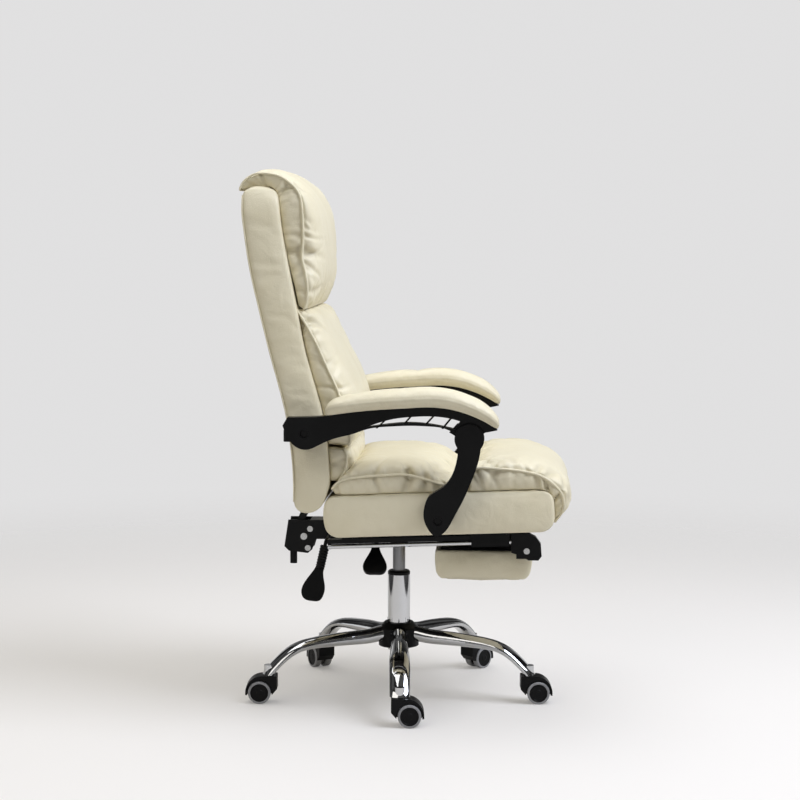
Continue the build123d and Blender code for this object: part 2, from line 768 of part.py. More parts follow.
footrest_rails.part.label = "footrest_rails"
export_step(footrest_rails.part, "parts/footrest_rails.step")

rod_plane = Plane(
    origin=seat_point(footrest_rod_rear, footrest_rod_y, footrest_rod_depth),
    x_dir=(0, 1, 0), z_dir=seat_plane.x_dir,
)

with BuildPart() as footrest_guides:
    with BuildSketch(seat_plane):
        with Locations(((guide_rear + guide_front) / 2, footrest_rod_y)):
            Rectangle(guide_front - guide_rear, 2 * guide_half_width)
    extrude(amount=-guide_depth)
    with BuildSketch(rod_plane):
        Circle(footrest_rod_radius + running_clearance)
    extrude(amount=500, mode=Mode.SUBTRACT)
    mirror(about=Plane.XZ)

footrest_guides.part.label = "footrest_guides"
export_step(footrest_guides.part, "parts/footrest_guides.step")

with BuildPart() as footrest_rods:
    with BuildSketch(rod_plane):
        Circle(footrest_rod_radius)
    extrude(amount=footrest_rod_front - footrest_rod_rear)
    with BuildSketch(rod_plane):
        Circle(stop_ring_radius)
    extrude(amount=stop_ring_length)
    mirror(about=Plane.XZ)

footrest_rods.part.label = "footrest_rods"
export_step(footrest_rods.part, "parts/footrest_rods.step")

with BuildPart() as footrest_knuckles:
    with BuildSketch(side_plane(footrest_rod_y)):
        with BuildLine():
            Polyline((251, 398), (289, 398), (303, 391), (314, 376), (316, 350), (309, 341),
                     (288, 341), (268, 352), (251, 357), close=True)
        make_face()
        with Locations((footrest_pivot_x, footrest_pivot_z)):
            Circle(footrest_screw_radius, mode=Mode.SUBTRACT)
    extrude(amount=knuckle_block_half_width, both=True)
    add(footrest_rods.part, mode=Mode.SUBTRACT)
    mirror(about=Plane.XZ)

footrest_knuckles.part.label = "footrest_knuckles"
export_step(footrest_knuckles.part, "parts/footrest_knuckles.step")

knuckle_inner = footrest_rod_y - knuckle_block_half_width
knuckle_outer = footrest_rod_y + knuckle_block_half_width
hinge_inner = footrest_half_width + 1

with BuildPart() as footrest_crossbar:
    with BuildSketch(side_plane(-knuckle_inner)):
        with Locations((crossbar_rear + crossbar_size / 2, crossbar_bottom + crossbar_size / 2)):
            Rectangle(crossbar_size, crossbar_size)
            Rectangle(crossbar_size - 3, crossbar_size - 3, mode=Mode.SUBTRACT)
    extrude(amount=-2 * knuckle_inner)

footrest_crossbar.part.label = "footrest_crossbar"
export_step(footrest_crossbar.part, "parts/footrest_crossbar.step")

with BuildPart() as footrest_screws:
    for radius, inner, outer in (
        (footrest_screw_radius, hinge_inner, knuckle_outer),
        (footrest_screw_head, knuckle_outer, knuckle_outer + 3),
    ):
        with BuildSketch(side_plane(inner)):
            with Locations((footrest_pivot_x, footrest_pivot_z)):
                Circle(radius)
        extrude(amount=inner - outer)
    mirror(about=Plane.XZ)

footrest_screws.part.label = "footrest_screws"
export_step(footrest_screws.part, "parts/footrest_screws.step")

# ---------------------------------------------------------------- footrest pad

footrest_board_bottom = footrest_top - footrest_board_thickness

with BuildPart() as footrest_board:
    with BuildSketch(Plane.XY.offset(footrest_board_bottom)):
        with Locations(((footrest_rear + footrest_front) / 2, 0)):
            RectangleRounded(footrest_front - footrest_rear - 2 * footrest_board_margin,
                             2 * (footrest_half_width - footrest_board_margin), 12)
    extrude(amount=footrest_board_thickness)

footrest_board.part.label = "footrest_board"
export_step(footrest_board.part, "parts/footrest_board.step")

with BuildPart() as footrest_cushion:
    with BuildSketch(Plane.XZ):
        with BuildLine():
            pad_outline = Polyline(
                (footrest_rear, footrest_top), (footrest_front, footrest_top),
                (footrest_front - 6, footrest_bottom), (footrest_rear + 4, footrest_bottom),
                close=True,
            )
            fillet(pad_outline.vertices().group_by(Axis.Z)[0], 20)
        make_face()
    extrude(amount=footrest_half_width, both=True)
    add(footrest_board.part, mode=Mode.SUBTRACT)

footrest_cushion.part.label = "footrest_cushion"
export_step(footrest_cushion.part, "parts/footrest_cushion.step")

with BuildPart() as footrest_hinges:
    with BuildSketch(side_plane(hinge_inner)):
        with BuildLine():
            Polyline((262, 358), (262, 340), (292, 340), (292, 358), close=True)
        make_face()
        with Locations((footrest_pivot_x, footrest_pivot_z)):
            Circle(9)
            Circle(footrest_screw_radius + running_clearance, mode=Mode.SUBTRACT)
    extrude(amount=-hinge_plate_thickness)
    with BuildSketch(Plane.XY.offset(footrest_top)):
        with Locations((271, hinge_inner - 17)):
            Rectangle(18, 40)
    extrude(amount=2)
    mirror(about=Plane.XZ)

footrest_hinges.part.label = "footrest_hinges"
export_step(footrest_hinges.part, "parts/footrest_hinges.step")

# ---------------------------------------------------------------- back frame

back_board_face = Plane(
    origin=back_board_side.origin, x_dir=(0, -1, 0), z_dir=back_board_side.y_dir
)


def board_point(up, rearward):
    """A point of the side view from one in the back board's leaning frame."""
    point = back_board_side.from_local_coords(Vector(up, rearward, 0))
    return (point.X, point.Z)


bar_gap = back_board_thickness / 2
bar_front = [board_point(up, bar_gap) for up in (back_bar_reach, 0)]
bar_rear = [board_point(up, bar_gap + back_bar_depth) for up in (0, back_bar_reach)]

with BuildPart() as back_bar:
    with BuildSketch(Plane.XZ):
        with BuildLine():
            Polyline(*bar_front, (-188, 440), (-212, 394), (-204, recline_z),
                     (-220, recline_z), (-230, 391), (-204, 444), *bar_rear, close=True)
        make_face()
        with Locations((recline_x, recline_z)):
            Circle(14)
    extrude(amount=back_bar_half_width, both=True)
    with BuildSketch(Plane.XZ):
        with BuildLine():
            Line((recline_x, recline_z),
                 (recline_x + sector_radius * cos(radians(sector_first)),
                  recline_z + sector_radius * sin(radians(sector_first))))
            CenterArc((recline_x, recline_z), sector_radius, sector_first,
                      sector_last - sector_first)
            Line((recline_x + sector_radius * cos(radians(sector_last)),
                  recline_z + sector_radius * sin(radians(sector_last))),
                 (recline_x, recline_z))
        make_face()
        for notch in range(sector_notch_count):
            turn = radians(220 - notch * recline_angle_max / (sector_notch_count - 1))
            with Locations((recline_x + sector_radius * cos(turn),
                            recline_z + sector_radius * sin(turn))):
                Circle(sector_notch_radius, mode=Mode.SUBTRACT)
    extrude(amount=sector_half_width, both=True)
    with Locations((recline_x, 0, recline_z)):
        Cylinder(recline_pin_radius + running_clearance, 60, rotation=(90, 0, 0),
                 mode=Mode.SUBTRACT)

back_bar.part.label = "back_bar"
export_step(back_bar.part, "parts/back_bar.step")

strap_bottom = strap_mid_height - strap_height / 2

with BuildPart() as arm_bolts:
    shank_end = arm_mid + arm_half_thickness - pivot_recess_depth
    for radius, inner, outer in (
        (pivot_head_radius, strap_side - pivot_head_height + 0.5, strap_side),
        (pivot_bolt_radius, strap_side, shank_end),
        (pivot_spacer_radius, strap_side + strap_thickness,
         arm_mid - arm_half_thickness - soft_clearance),
        (pivot_head_radius, shank_end, shank_end + pivot_head_height),
    ):
        with BuildSketch(side_plane(inner)):
            with Locations((arm_pivot_x, arm_pivot_z)):
                Circle(radius)
        extrude(amount=inner - outer)
    with BuildSketch(Plane.YZ.offset(strap_rear)):
        with Locations((strap_bolt_y, strap_mid_height)):
            Circle(bolt_radius)
    extrude(amount=-strap_rear + back_board_x - 22)
    with BuildSketch(Plane.YZ.offset(strap_rear)):
        with Locations((strap_bolt_y, strap_mid_height)):
            Circle(bolt_head_radius)
    extrude(amount=-bolt_head_height)
    mirror(about=Plane.XZ)

arm_bolts.part.label = "arm_bolts"
export_step(arm_bolts.part, "parts/arm_bolts.step")

with BuildPart() as arm_strap:
    with BuildSketch(Plane.XY.offset(strap_bottom)):
        with Locations(((strap_rear + arm_pivot_x) / 2, 0)):
            Rectangle(arm_pivot_x - strap_rear, 2 * (strap_side + strap_thickness))
    extrude(amount=strap_height)
    fillet(arm_strap.edges().filter_by(Axis.Z).group_by(Axis.X)[0], 9)
    with BuildSketch(side_plane(strap_side + strap_thickness)):
        with Locations((arm_pivot_x, arm_pivot_z)):
            Circle(14)
    extrude(amount=2 * (strap_side + strap_thickness))
    with BuildSketch(Plane.XY.offset(strap_bottom - 20)):
        with Locations(((strap_rear + strap_thickness + 0) / 2, 0)):
            RectangleRounded(-strap_rear - strap_thickness, 2 * strap_side, 4)
    extrude(amount=100, mode=Mode.SUBTRACT)
    add(arm_bolts.part, mode=Mode.SUBTRACT)

arm_strap.part.label = "arm_strap"
export_step(arm_strap.part, "parts/arm_strap.step")

with BuildPart() as back_board:
    with BuildSketch(back_board_face.offset(-bar_gap)):
        with Locations((0, back_board_length / 2)):
            RectangleRounded(2 * back_board_half_width, back_board_length, 30)
    extrude(amount=back_board_thickness)
    add(arm_bolts.part, mode=Mode.SUBTRACT)

back_board.part.label = "back_board"
export_step(back_board.part, "parts/back_board.step")

# ---------------------------------------------------------------- back upholstery

strip_rear = ((-323, 1112), (-323, 1080), (-319, 1046), (-307, 963), (-285, 866), (-264, 781),
              (-244, 708), (-231, 656), (-222, 599), (-216, 546), (-214, 506), (-214, 465))
strip_foot = ((-214, 465), (-206, 449), (-188, 441), (-168, 444), (-153, 455), (-145, 470),
              (-138, 488), (-135, 506))
strip_front = ((-135, 506), (-137, 560), (-144, 620), (-158, 687), (-173, 734), (-186, 781),
               (-196, 824), (-202, 861), (-207, 905), (-215, 942), (-224, 974), (-231, 1006),
               (-236, 1038), (-241, 1080), (-245, 1112))
strip_top = 1129.0

with BuildPart() as back_base_cushion:
    with BuildSketch(Plane.XZ):
        with BuildLine():
            Spline(*strip_rear)
            Spline(*strip_foot)
            Spline(*strip_front)
            Polyline(strip_front[-1], (-257, strip_top), (-312, strip_top), strip_rear[0])
        make_face()
    extrude(amount=back_half_width, both=True)
    with BuildSketch(Plane.YZ):
        with Locations((0, strip_top - 400)):
            RectangleRounded(2 * back_half_width, 800, 62)
    extrude(amount=400, both=True, mode=Mode.INTERSECT)
    add(back_board.part, mode=Mode.SUBTRACT)
    add(back_bar.part, mode=Mode.SUBTRACT)
    add(arm_bolts.part, mode=Mode.SUBTRACT)

back_base_cushion.part.label = "back_base_cushion"
export_step(back_base_cushion.part, "parts/back_base_cushion.step")

# the strip's own room and a little more, which the cushions in front of it keep out of
with BuildPart() as strip_room:
    with BuildSketch(Plane.XZ):
        with BuildLine():
            Spline(*((x + soft_clearance, z) for x, z in strip_front))
            Polyline((strip_front[-1][0] + soft_clearance, strip_front[-1][1]),
                     (-256.5, strip_top + soft_clearance), (-400, strip_top + soft_clearance),
                     (-400, 400), (-135, 400), (strip_front[0][0] + soft_clearance, strip_front[0][1]))
        make_face()
    extrude(amount=300, both=True)

cushion_inset = 10.0
cushion_half_width = back_half_width - cushion_inset


def crown_plane(x, z, lean):
    """A plane across a cushion, its y axis out of the cushion's face."""
    return Plane(origin=(x, 0, z), x_dir=(0, 1, 0),
                 z_dir=(sin(radians(lean)), 0, -cos(radians(lean))))


with BuildPart() as head_cushion:
    with BuildSketch(Plane.XZ):
        with BuildLine():
            Spline((-319, 1131), (-308, 1158), (-278, 1173), (-243, 1166), (-206, 1142),
                   (-170, 1112), (-150, 1074), (-142, 1020), (-142, 960), (-150, 916), (-170, 884))
            Polyline((-170, 884), (-240, 884), (-319, 1131))
        make_face()
    extrude(amount=cushion_half_width, both=True)
    add(strip_room.part, mode=Mode.SUBTRACT)
    with BuildSketch(crown_plane(-140, 1000, 0)):
        with BuildLine():
            ThreePointArc((-cushion_half_width, -52), (0, 0), (cushion_half_width, -52))
            Polyline((cushion_half_width, -52), (cushion_half_width, -200),
                     (-cushion_half_width, -200), (-cushion_half_width, -52))
        make_face()
    extrude(amount=400, both=True, mode=Mode.INTERSECT)
    with BuildSketch(Plane.YZ):
        with BuildLine():
            Spline((-cushion_half_width, 1085), (-215, 1128), (-150, 1156), (0, 1174),
                   (150, 1156), (215, 1128), (cushion_half_width, 1085))
            Polyline((cushion_half_width, 1085), (cushion_half_width, 800),
                     (-cushion_half_width, 800), (-cushion_half_width, 1085))
        make_face()
    extrude(amount=400, both=True, mode=Mode.INTERSECT)

head_cushion.part.label = "head_cushion"
export_step(head_cushion.part, "parts/head_cushion.step")

with BuildPart() as back_cushion:
    with BuildSketch(Plane.XZ):
        with BuildLine():
            Spline((-182, 880), (-160, 858), (-136, 822), (-113, 788), (-95, 758), (-80, 728),
                   (-74, 705), (-86, 692), (-112, 688))
            Polyline((-112, 688), (-200, 688), (-230, 880), (-182, 880))
        make_face()
    extrude(amount=cushion_half_width, both=True)
    add(strip_room.part, mode=Mode.SUBTRACT)
    with BuildSketch(crown_plane(-113, 790, 30)):
        with BuildLine():
            ThreePointArc((-cushion_half_width, -42), (0, 3), (cushion_half_width, -42))
            Polyline((cushion_half_width, -42), (cushion_half_width, -200),
                     (-cushion_half_width, -200), (-cushion_half_width, -42))
        make_face()
    extrude(amount=400, both=True, mode=Mode.INTERSECT)

back_cushion.part.label = "back_cushion"
export_step(back_cushion.part, "parts/back_cushion.step")

with BuildPart() as lower_back_cushion:
    with BuildSketch(Plane.XZ):
        with BuildLine():
            Spline((-118, 684), (-92, 674), (-80, 650), (-82, 612), (-88, 578), (-97, 552),
                   (-110, 536), (-132, 520))
            Polyline((-132, 520), (-180, 520), (-180, 684), (-118, 684))
        make_face()
    extrude(amount=cushion_half_width, both=True)
    add(strip_room.part, mode=Mode.SUBTRACT)
    with BuildSketch(crown_plane(-80, 600, 0)):
        with BuildLine():
            ThreePointArc((-cushion_half_width, -36), (0, 2), (cushion_half_width, -36))
            Polyline((cushion_half_width, -36), (cushion_half_width, -200),
                     (-cushion_half_width, -200), (-cushion_half_width, -36))
        make_face()
    extrude(amount=400, both=True, mode=Mode.INTERSECT)

lower_back_cushion.part.label = "lower_back_cushion"
export_step(lower_back_cushion.part, "parts/lower_back_cushion.step")

# ---------------------------------------------------------------- arm linkage

arm_top = ((-218, 651), (-175, 652), (-135, 655), (-95, 661), (-35, 668), (25, 672), (80, 675),
           (120, 672), (150, 664), (178, 653), (204, 640), (220, 628))
arm_under = ((190, 622), (160, 619), (134, 622), (109, 631), (77, 635), (37, 636), (-3, 634),
             (-51, 628), (-83, 617), (-115, 609), (-155, 592), (-175, 584), (-193, 586),
             (-210, 598), (-221, 616), (-228, 634))
window_top = ((-53, 632), (-19, 644), (5, 650), (37, 654), (77, 656), (108, 654), (143, 646))
window_under = ((132, 629), (105, 635), (73, 640), (37, 642), (5, 640), (-19, 637), (-53, 632))
arm_ribs = (((-31, 630), (-12, 648)), ((25, 638), (43, 658)), ((69, 636), (91, 660)),
            ((106, 630), (127, 656)))

with BuildPart() as arm_frame_left:
    with BuildSketch(side_plane(arm_mid)):
        with BuildLine():
            Spline(*arm_top)
            Line(arm_top[-1], arm_under[0])
            Spline(*arm_under)
            Line(arm_under[-1], arm_top[0])
        make_face()
        with BuildLine():
            Spline(*window_top)
            Line(window_top[-1], window_under[0])
            Spline(*window_under)
        make_face(mode=Mode.SUBTRACT)
        for (x1, z1), (x2, z2) in arm_ribs:
            with BuildLine():
                Polyline((x1 - 2, z1), (x2 - 2, z2), (x2 + 2, z2), (x1 + 2, z1), close=True)
            make_face()
    extrude(amount=arm_half_thickness, both=True)
    with BuildSketch(side_plane(arm_mid)):
        with Locations((knuckle_x, knuckle_z)):
            Circle(knuckle_radius + 5)
    extrude(amount=arm_half_thickness, both=True, mode=Mode.SUBTRACT)
    with BuildSketch(side_plane(arm_mid)):
        with BuildLine():
            Polyline((120, 622), (136, 640), (178, 653), (200, 641), (196, 623),
                     (knuckle_x + 12, knuckle_z), (knuckle_x - 20, knuckle_z), close=True)
        make_face()
        with Locations((knuckle_x, knuckle_z)):
            Circle(knuckle_lug_radius)
            Circle(knuckle_pin_radius + knuckle_play, mode=Mode.SUBTRACT)
    extrude(amount=knuckle_lug_half_thickness, both=True)
    with BuildSketch(side_plane(arm_mid)):
        with Locations((arm_pivot_x, arm_pivot_z)):
            Circle(pivot_bolt_radius + running_clearance)
    extrude(amount=arm_half_thickness, both=True, mode=Mode.SUBTRACT)
    with BuildSketch(side_plane(arm_mid + arm_half_thickness)):
        with Locations((arm_pivot_x, arm_pivot_z)):
            Circle(pivot_recess_radius)
    extrude(amount=pivot_recess_depth, mode=Mode.SUBTRACT)

with BuildPart() as arm_pad_left:
    with BuildSketch(side_plane(arm_mid)):
        with BuildLine():
            Polyline((-139, 640), (-139, 672))
            Spline((-139, 672), (-124, 690), (-96, 697), (-36, 707), (20, 712), (84, 715),
                   (130, 709), (183, 689), (213, 668), (225, 648), (224, 634))
            Polyline((224, 634), (217, 630), (-139, 640))
        make_face()
    extrude(amount=pad_half_width, both=True)
    with BuildSketch(side_plane(arm_mid)):
        with BuildLine():
            Spline(*((x, z + soft_clearance) for x, z in arm_top))
            Polyline((arm_top[-1][0], arm_top[-1][1] + soft_clearance), (arm_top[-1][0], 560),
                     (arm_top[0][0], 560), (arm_top[0][0], arm_top[0][1] + soft_clearance))
        make_face()
    extrude(amount=2 * pad_half_width, both=True, mode=Mode.SUBTRACT)
    with BuildSketch(Plane.XY.offset(560)):
        with Locations((43, arm_mid)):
            RectangleRounded(366, 2 * pad_half_width, 26)
    extrude(amount=300, mode=Mode.INTERSECT)

with BuildPart() as strut_body:
    with BuildSketch(side_plane(arm_mid)):
        with BuildLine():
            Spline((139, 588), (133, 551), (121, 523), (101, 503), (78, 487), (69, 466),
                   (68, 442), (78, 418), (95, 404), (110, 412), (130, 443), (149, 479),
                   (165, 516), (177, 548), (186, 590))
            Line((186, 590), (139, 588))
        make_face()
        with Locations((knuckle_x, knuckle_z)):
            Circle(knuckle_radius)
    extrude(amount=arm_half_thickness, both=True)
    with BuildSketch(side_plane(arm_mid)):
        with Locations((knuckle_x, knuckle_z)):
            Circle(knuckle_radius + 3)
    extrude(amount=knuckle_slot_half_width, both=True, mode=Mode.SUBTRACT)
    with BuildSketch(side_plane(arm_mid)):
        with Locations((knuckle_x, knuckle_z)):
            Circle(knuckle_pin_radius)
        with Locations((strut_pivot_x, strut_pivot_z)):
            Circle(pivot_bolt_radius + running_clearance)
    extrude(amount=arm_half_thickness, both=True, mode=Mode.SUBTRACT)
    with BuildSketch(side_plane(arm_mid + arm_half_thickness)):
        with Locations((strut_pivot_x, strut_pivot_z)):
            Circle(pivot_recess_radius)
    extrude(amount=pivot_recess_depth, mode=Mode.SUBTRACT)

with BuildPart() as knuckle_pin:
    with BuildSketch(side_plane(arm_mid)):
        with Locations((knuckle_x, knuckle_z)):
            Circle(knuckle_pin_radius)
    extrude(amount=arm_half_thickness, both=True)

arm_frame_left.part.label = "arm_frame_left"
export_step(arm_frame_left.part, "parts/arm_frame_left.step")
arm_pad_left.part.label = "arm_pad_left"
export_step(arm_pad_left.part, "parts/arm_pad_left.step")
strut_left = Compound(children=[strut_body.part.solid(), knuckle_pin.part.solid()])
strut_left.label = "strut_left"
export_step(strut_left, "parts/strut_left.step")

with BuildPart() as arm_frame_right:
    add(arm_frame_left.part.mirror(Plane.XZ))

arm_frame_right.part.label = "arm_frame_right"
export_step(arm_frame_right.part, "parts/arm_frame_right.step")

with BuildPart() as arm_pad_right:
    add(arm_pad_left.part.mirror(Plane.XZ))

arm_pad_right.part.label = "arm_pad_right"
export_step(arm_pad_right.part, "parts/arm_pad_right.step")
strut_right = Compound(
    children=[strut_body.part.solid().mirror(Plane.XZ), knuckle_pin.part.solid().mirror(Plane.XZ)]
)
strut_right.label = "strut_right"
export_step(strut_right, "parts/strut_right.step")

# ---------------------------------------------------------------- levers

with BuildPart() as height_lever_rod:
    with BuildLine() as height_lever_path:
        FilletPolyline(lever_start, lever_bend, lever_end, radius=10)
    with BuildSketch(Plane(origin=lever_start, z_dir=lever_bend - lever_start)):
        Circle(lever_radius)
    sweep()

height_lever_rod.part.label = "height_lever_rod"
export_step(height_lever_rod.part, "parts/height_lever_rod.step")

lever_drop = lever_end - lever_bend
height_paddle_plane = Plane(
    origin=lever_bend, x_dir=Vector(1, 0, 0), z_dir=Vector(0, lever_drop.Z, -lever_drop.Y)
)

with BuildPart() as height_lever_paddle:
    with BuildSketch(height_paddle_plane):
        with BuildLine():
            Spline((-8, -10), (-12, -24), (-22, -44), (-paddle_width / 2, -58), (-20, -72), (0, -75),
                   (20, -72), (paddle_width / 2, -58), (22, -44), (12, -24), (8, -10))
            Line((8, -10), (-8, -10))
        make_face()
    extrude(amount=paddle_thickness / 2, both=True)
    fillet(height_lever_paddle.edges().filter_by(Plane(height_paddle_plane.location)), 2.5)
    add(height_lever_rod.part, mode=Mode.SUBTRACT)

height_lever_paddle.part.label = "height_lever_paddle"
export_step(height_lever_paddle.part, "parts/height_lever_paddle.step")

with BuildPart() as recline_lever_rod:
    with BuildLine() as recline_lever_path:
        FilletPolyline(recline_lever_start, recline_lever_bend, recline_lever_end, radius=10)
    with BuildSketch(Plane(origin=recline_lever_start, z_dir=recline_lever_bend - recline_lever_start)):
        Circle(lever_radius)
    sweep()

recline_lever_rod.part.label = "recline_lever_rod"
export_step(recline_lever_rod.part, "parts/recline_lever_rod.step")

recline_drop = recline_lever_end - recline_lever_bend
recline_paddle_across = Vector(-recline_drop.Z, 0, recline_drop.X)
recline_paddle_plane = Plane(
    origin=recline_lever_bend, x_dir=recline_paddle_across,
    z_dir=recline_paddle_across.cross(recline_drop * -1),
)
sleeve_rings = [(10.5 if step % 2 else 9.0, -12.0 - 3.0 * step) for step in range(18)]

with BuildPart() as recline_lever_paddle:
    with BuildSketch(recline_paddle_plane):
        with BuildLine():
            Polyline((0, sleeve_rings[0][1]), *sleeve_rings, (0, sleeve_rings[-1][1]), close=True)
        make_face()
    revolve(axis=Axis(recline_lever_bend, recline_drop))
    with BuildSketch(recline_paddle_plane):
        with BuildLine():
            Spline((-9, -60), (-20, -86), (-27, -104), (-28, -120), (-20, -133), (0, -135),
                   (14, -131), (20, -118), (19, -98), (12, -80), (9, -60))
            Line((9, -60), (-9, -60))
        make_face()
    extrude(amount=paddle_thickness / 2, both=True)
    add(recline_lever_rod.part, mode=Mode.SUBTRACT)

recline_lever_paddle.part.label = "recline_lever_paddle"
export_step(recline_lever_paddle.part, "parts/recline_lever_paddle.step")
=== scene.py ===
"""Dressed model of a reclining office chair with a slide-out footrest.

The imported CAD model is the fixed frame. Its soft solids give way to sewn cushions: each is a
closed skin of six patches, every patch a function of two parameters on a grid. A cloth
simulation stuffs it, then folds are pressed along its seams and a thin piping is sewn round
its face. Rigid parts keep their CAD shape and get finishes made of shader node groups.

The cushions' and finishes' sizes are millimetres. The studio's, and those of every mesh, are
metres in the frame of the CAD model: +X is the chair's front, +Y the sitter's left, +Z up.
"""

from __future__ import annotations

import json
import logging
import math
from dataclasses import dataclass, field, replace
from enum import Enum
from typing import Iterable, Optional, Sequence, Union

import bmesh
import bpy
import numpy as np
from mathutils import Matrix, Vector

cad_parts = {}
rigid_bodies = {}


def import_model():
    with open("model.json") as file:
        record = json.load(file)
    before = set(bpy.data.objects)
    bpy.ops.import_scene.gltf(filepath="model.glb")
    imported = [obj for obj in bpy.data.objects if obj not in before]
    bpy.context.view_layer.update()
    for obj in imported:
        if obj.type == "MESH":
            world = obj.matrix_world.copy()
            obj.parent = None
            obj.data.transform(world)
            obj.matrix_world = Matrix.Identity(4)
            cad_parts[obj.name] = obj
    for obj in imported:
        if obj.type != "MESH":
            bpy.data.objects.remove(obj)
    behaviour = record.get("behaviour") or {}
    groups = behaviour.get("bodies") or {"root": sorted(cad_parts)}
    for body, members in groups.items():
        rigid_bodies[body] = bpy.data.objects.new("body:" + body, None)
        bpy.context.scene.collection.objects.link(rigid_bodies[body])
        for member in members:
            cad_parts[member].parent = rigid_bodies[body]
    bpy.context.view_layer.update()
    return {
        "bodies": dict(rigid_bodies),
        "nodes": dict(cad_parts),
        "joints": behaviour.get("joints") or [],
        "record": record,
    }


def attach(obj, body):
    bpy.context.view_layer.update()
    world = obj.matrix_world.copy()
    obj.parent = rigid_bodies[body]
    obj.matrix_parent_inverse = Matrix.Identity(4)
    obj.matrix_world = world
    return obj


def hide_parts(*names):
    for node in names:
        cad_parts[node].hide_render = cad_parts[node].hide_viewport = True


LOG = logging.getLogger("chair")
MM = 0.001
FAR = 1000.0             # a distance, in millimetres, at which no seam has any effect
OTHER_SIDE = 10 * FAR    # added to a place along the seam at a cushion's other side or end
END_REACH = 60.0         # how far an end's outline is felt along the sides, in millimetres
JOIN = 1e-5              # metres: patches are sewn where their points share a cell this wide
JOIN_SHIFT = 3.3e-6      # keeps round numbers off the borders of those cells
DOUBLES = 2e-6           # metres between points that are one
FINE_ALONG = 400         # samples of a cushion's seam, to measure it
FINE_ACROSS = 801        # samples of the curve across its face
WAVE_SEED = 50           # added to a cushion's seed for the waves of its seams
PIPING_SEED = 100        # added to it for the piping
STUFFING_FRAMES = 20     # length of the cloth simulation

Table = Sequence[Sequence[float]]      # rows of numbers
Measure = Union[np.ndarray, float]     # one value for each point, or one for all of them
Socket = bpy.types.NodeSocket


# ------------------------------------------------------------------ curves and meshes


def smooth_line(points: Table, at: np.ndarray) -> np.ndarray:
    """Points of a smooth line through given points.

    Each span is a cubic Hermite piece: its slopes are the differences of the neighbours,
    and its parameter is the length of the chord of the first four columns, scaled to run
    from 0 to 1.

    Args:
        points: The points to pass through, one row each, with any number of columns.
        at: Parameters from 0 to 1.

    Returns:
        One row for each parameter.
    """
    knots = np.asarray(points, float)
    chord = np.linalg.norm(np.diff(knots[:, :4], axis=0), axis=1)
    s = np.concatenate(([0.0], np.cumsum(chord)))
    s /= s[-1]
    slope = np.gradient(knots, s, axis=0)
    k = np.clip(np.searchsorted(s, at, side="right") - 1, 0, len(s) - 2)
    span = (s[k + 1] - s[k])[:, None]
    u = (at - s[k])[:, None] / span
    return ((2 * u**3 - 3 * u**2 + 1) * knots[k] + (u**3 - 2 * u**2 + u) * span * slope[k]
            + (3 * u**2 - 2 * u**3) * knots[k + 1] + (u**3 - u**2) * span * slope[k + 1])


def ease(x: np.ndarray) -> np.ndarray:
    """The smooth step 3x^2 - 2x^3 of a value that is first held between 0 and 1."""
    x = np.clip(x, 0.0, 1.0)
    return x * x * (3.0 - 2.0 * x)


def unit(vectors: np.ndarray) -> np.ndarray:
    """The vectors divided by their lengths."""
    return vectors / np.maximum(np.linalg.norm(vectors, axis=-1, keepdims=True), 1e-12)


def soften(rows: np.ndarray) -> np.ndarray:
    """Each row of a loop blended with its neighbours: a quarter, a half and a quarter."""
    return 0.25 * np.roll(rows, 1, 0) + 0.5 * rows + 0.25 * np.roll(rows, -1, 0)


def grid_faces(rows: int, columns: int, wrap_rows: bool = False,
               wrap_columns: bool = False) -> np.ndarray:
    """Corner numbers of the quads of a grid of points.

    Args:
        rows: Number of rows of points.
        columns: Number of points in a row.
        wrap_rows: Whether the last row joins the first.
        wrap_columns: Whether the last column joins the first.

    Returns:
        An array of quads, four corner numbers each.
    """
    i, j = np.meshgrid(np.arange(rows if wrap_rows else rows - 1),
                       np.arange(columns if wrap_columns else columns - 1), indexing="ij")
    i, j = i.ravel(), j.ravel()
    i1, j1 = (i + 1) % rows, (j + 1) % columns
    return np.stack([i * columns + j, i1 * columns + j, i1 * columns + j1, i * columns + j1], 1)


def close_shell(mesh: bpy.types.Mesh, fill: bool = False) -> None:
    """Merges a mesh's doubles and turns its faces outwards.

    Args:
        mesh: The mesh to change.
        fill: Whether its holes are filled too.
    """
    shell = bmesh.new()
    shell.from_mesh(mesh)
    bmesh.ops.remove_doubles(shell, verts=shell.verts, dist=DOUBLES)
    if fill:
        bmesh.ops.holes_fill(shell, edges=shell.edges)
    bmesh.ops.recalc_face_normals(shell, faces=shell.faces)
    shell.to_mesh(mesh)
    shell.free()


def mesh_piece(name: str, points: np.ndarray, faces: np.ndarray,
               measures: Optional[dict[str, np.ndarray]] = None) -> bpy.types.Object:
    """A new mesh object at the origin, smooth, with its faces pointing outwards.

    Args:
        name: Name of the object and of its mesh.
        points: Vertices in metres.
        faces: Corner numbers of each face.
        measures: Float attributes of the vertices.

    Returns:
        The object, linked to the scene.
    """
    mesh = bpy.data.meshes.new(name)
    mesh.from_pydata(points.tolist(), [], faces.tolist())
    for key, values in (measures or {}).items():
        set_measure(mesh, key, values)
    close_shell(mesh)
    mesh.shade_smooth()
    piece = bpy.data.objects.new(name, mesh)
    bpy.context.scene.collection.objects.link(piece)
    return piece


def vertex_array(mesh: bpy.types.Mesh) -> np.ndarray:
    """The mesh's vertices in metres.

    Args:
        mesh: The mesh to read.

    Returns:
        One row for each vertex.
    """
    flat = np.empty(len(mesh.vertices) * 3)
    mesh.vertices.foreach_get("co", flat)
    return flat.reshape(-1, 3)


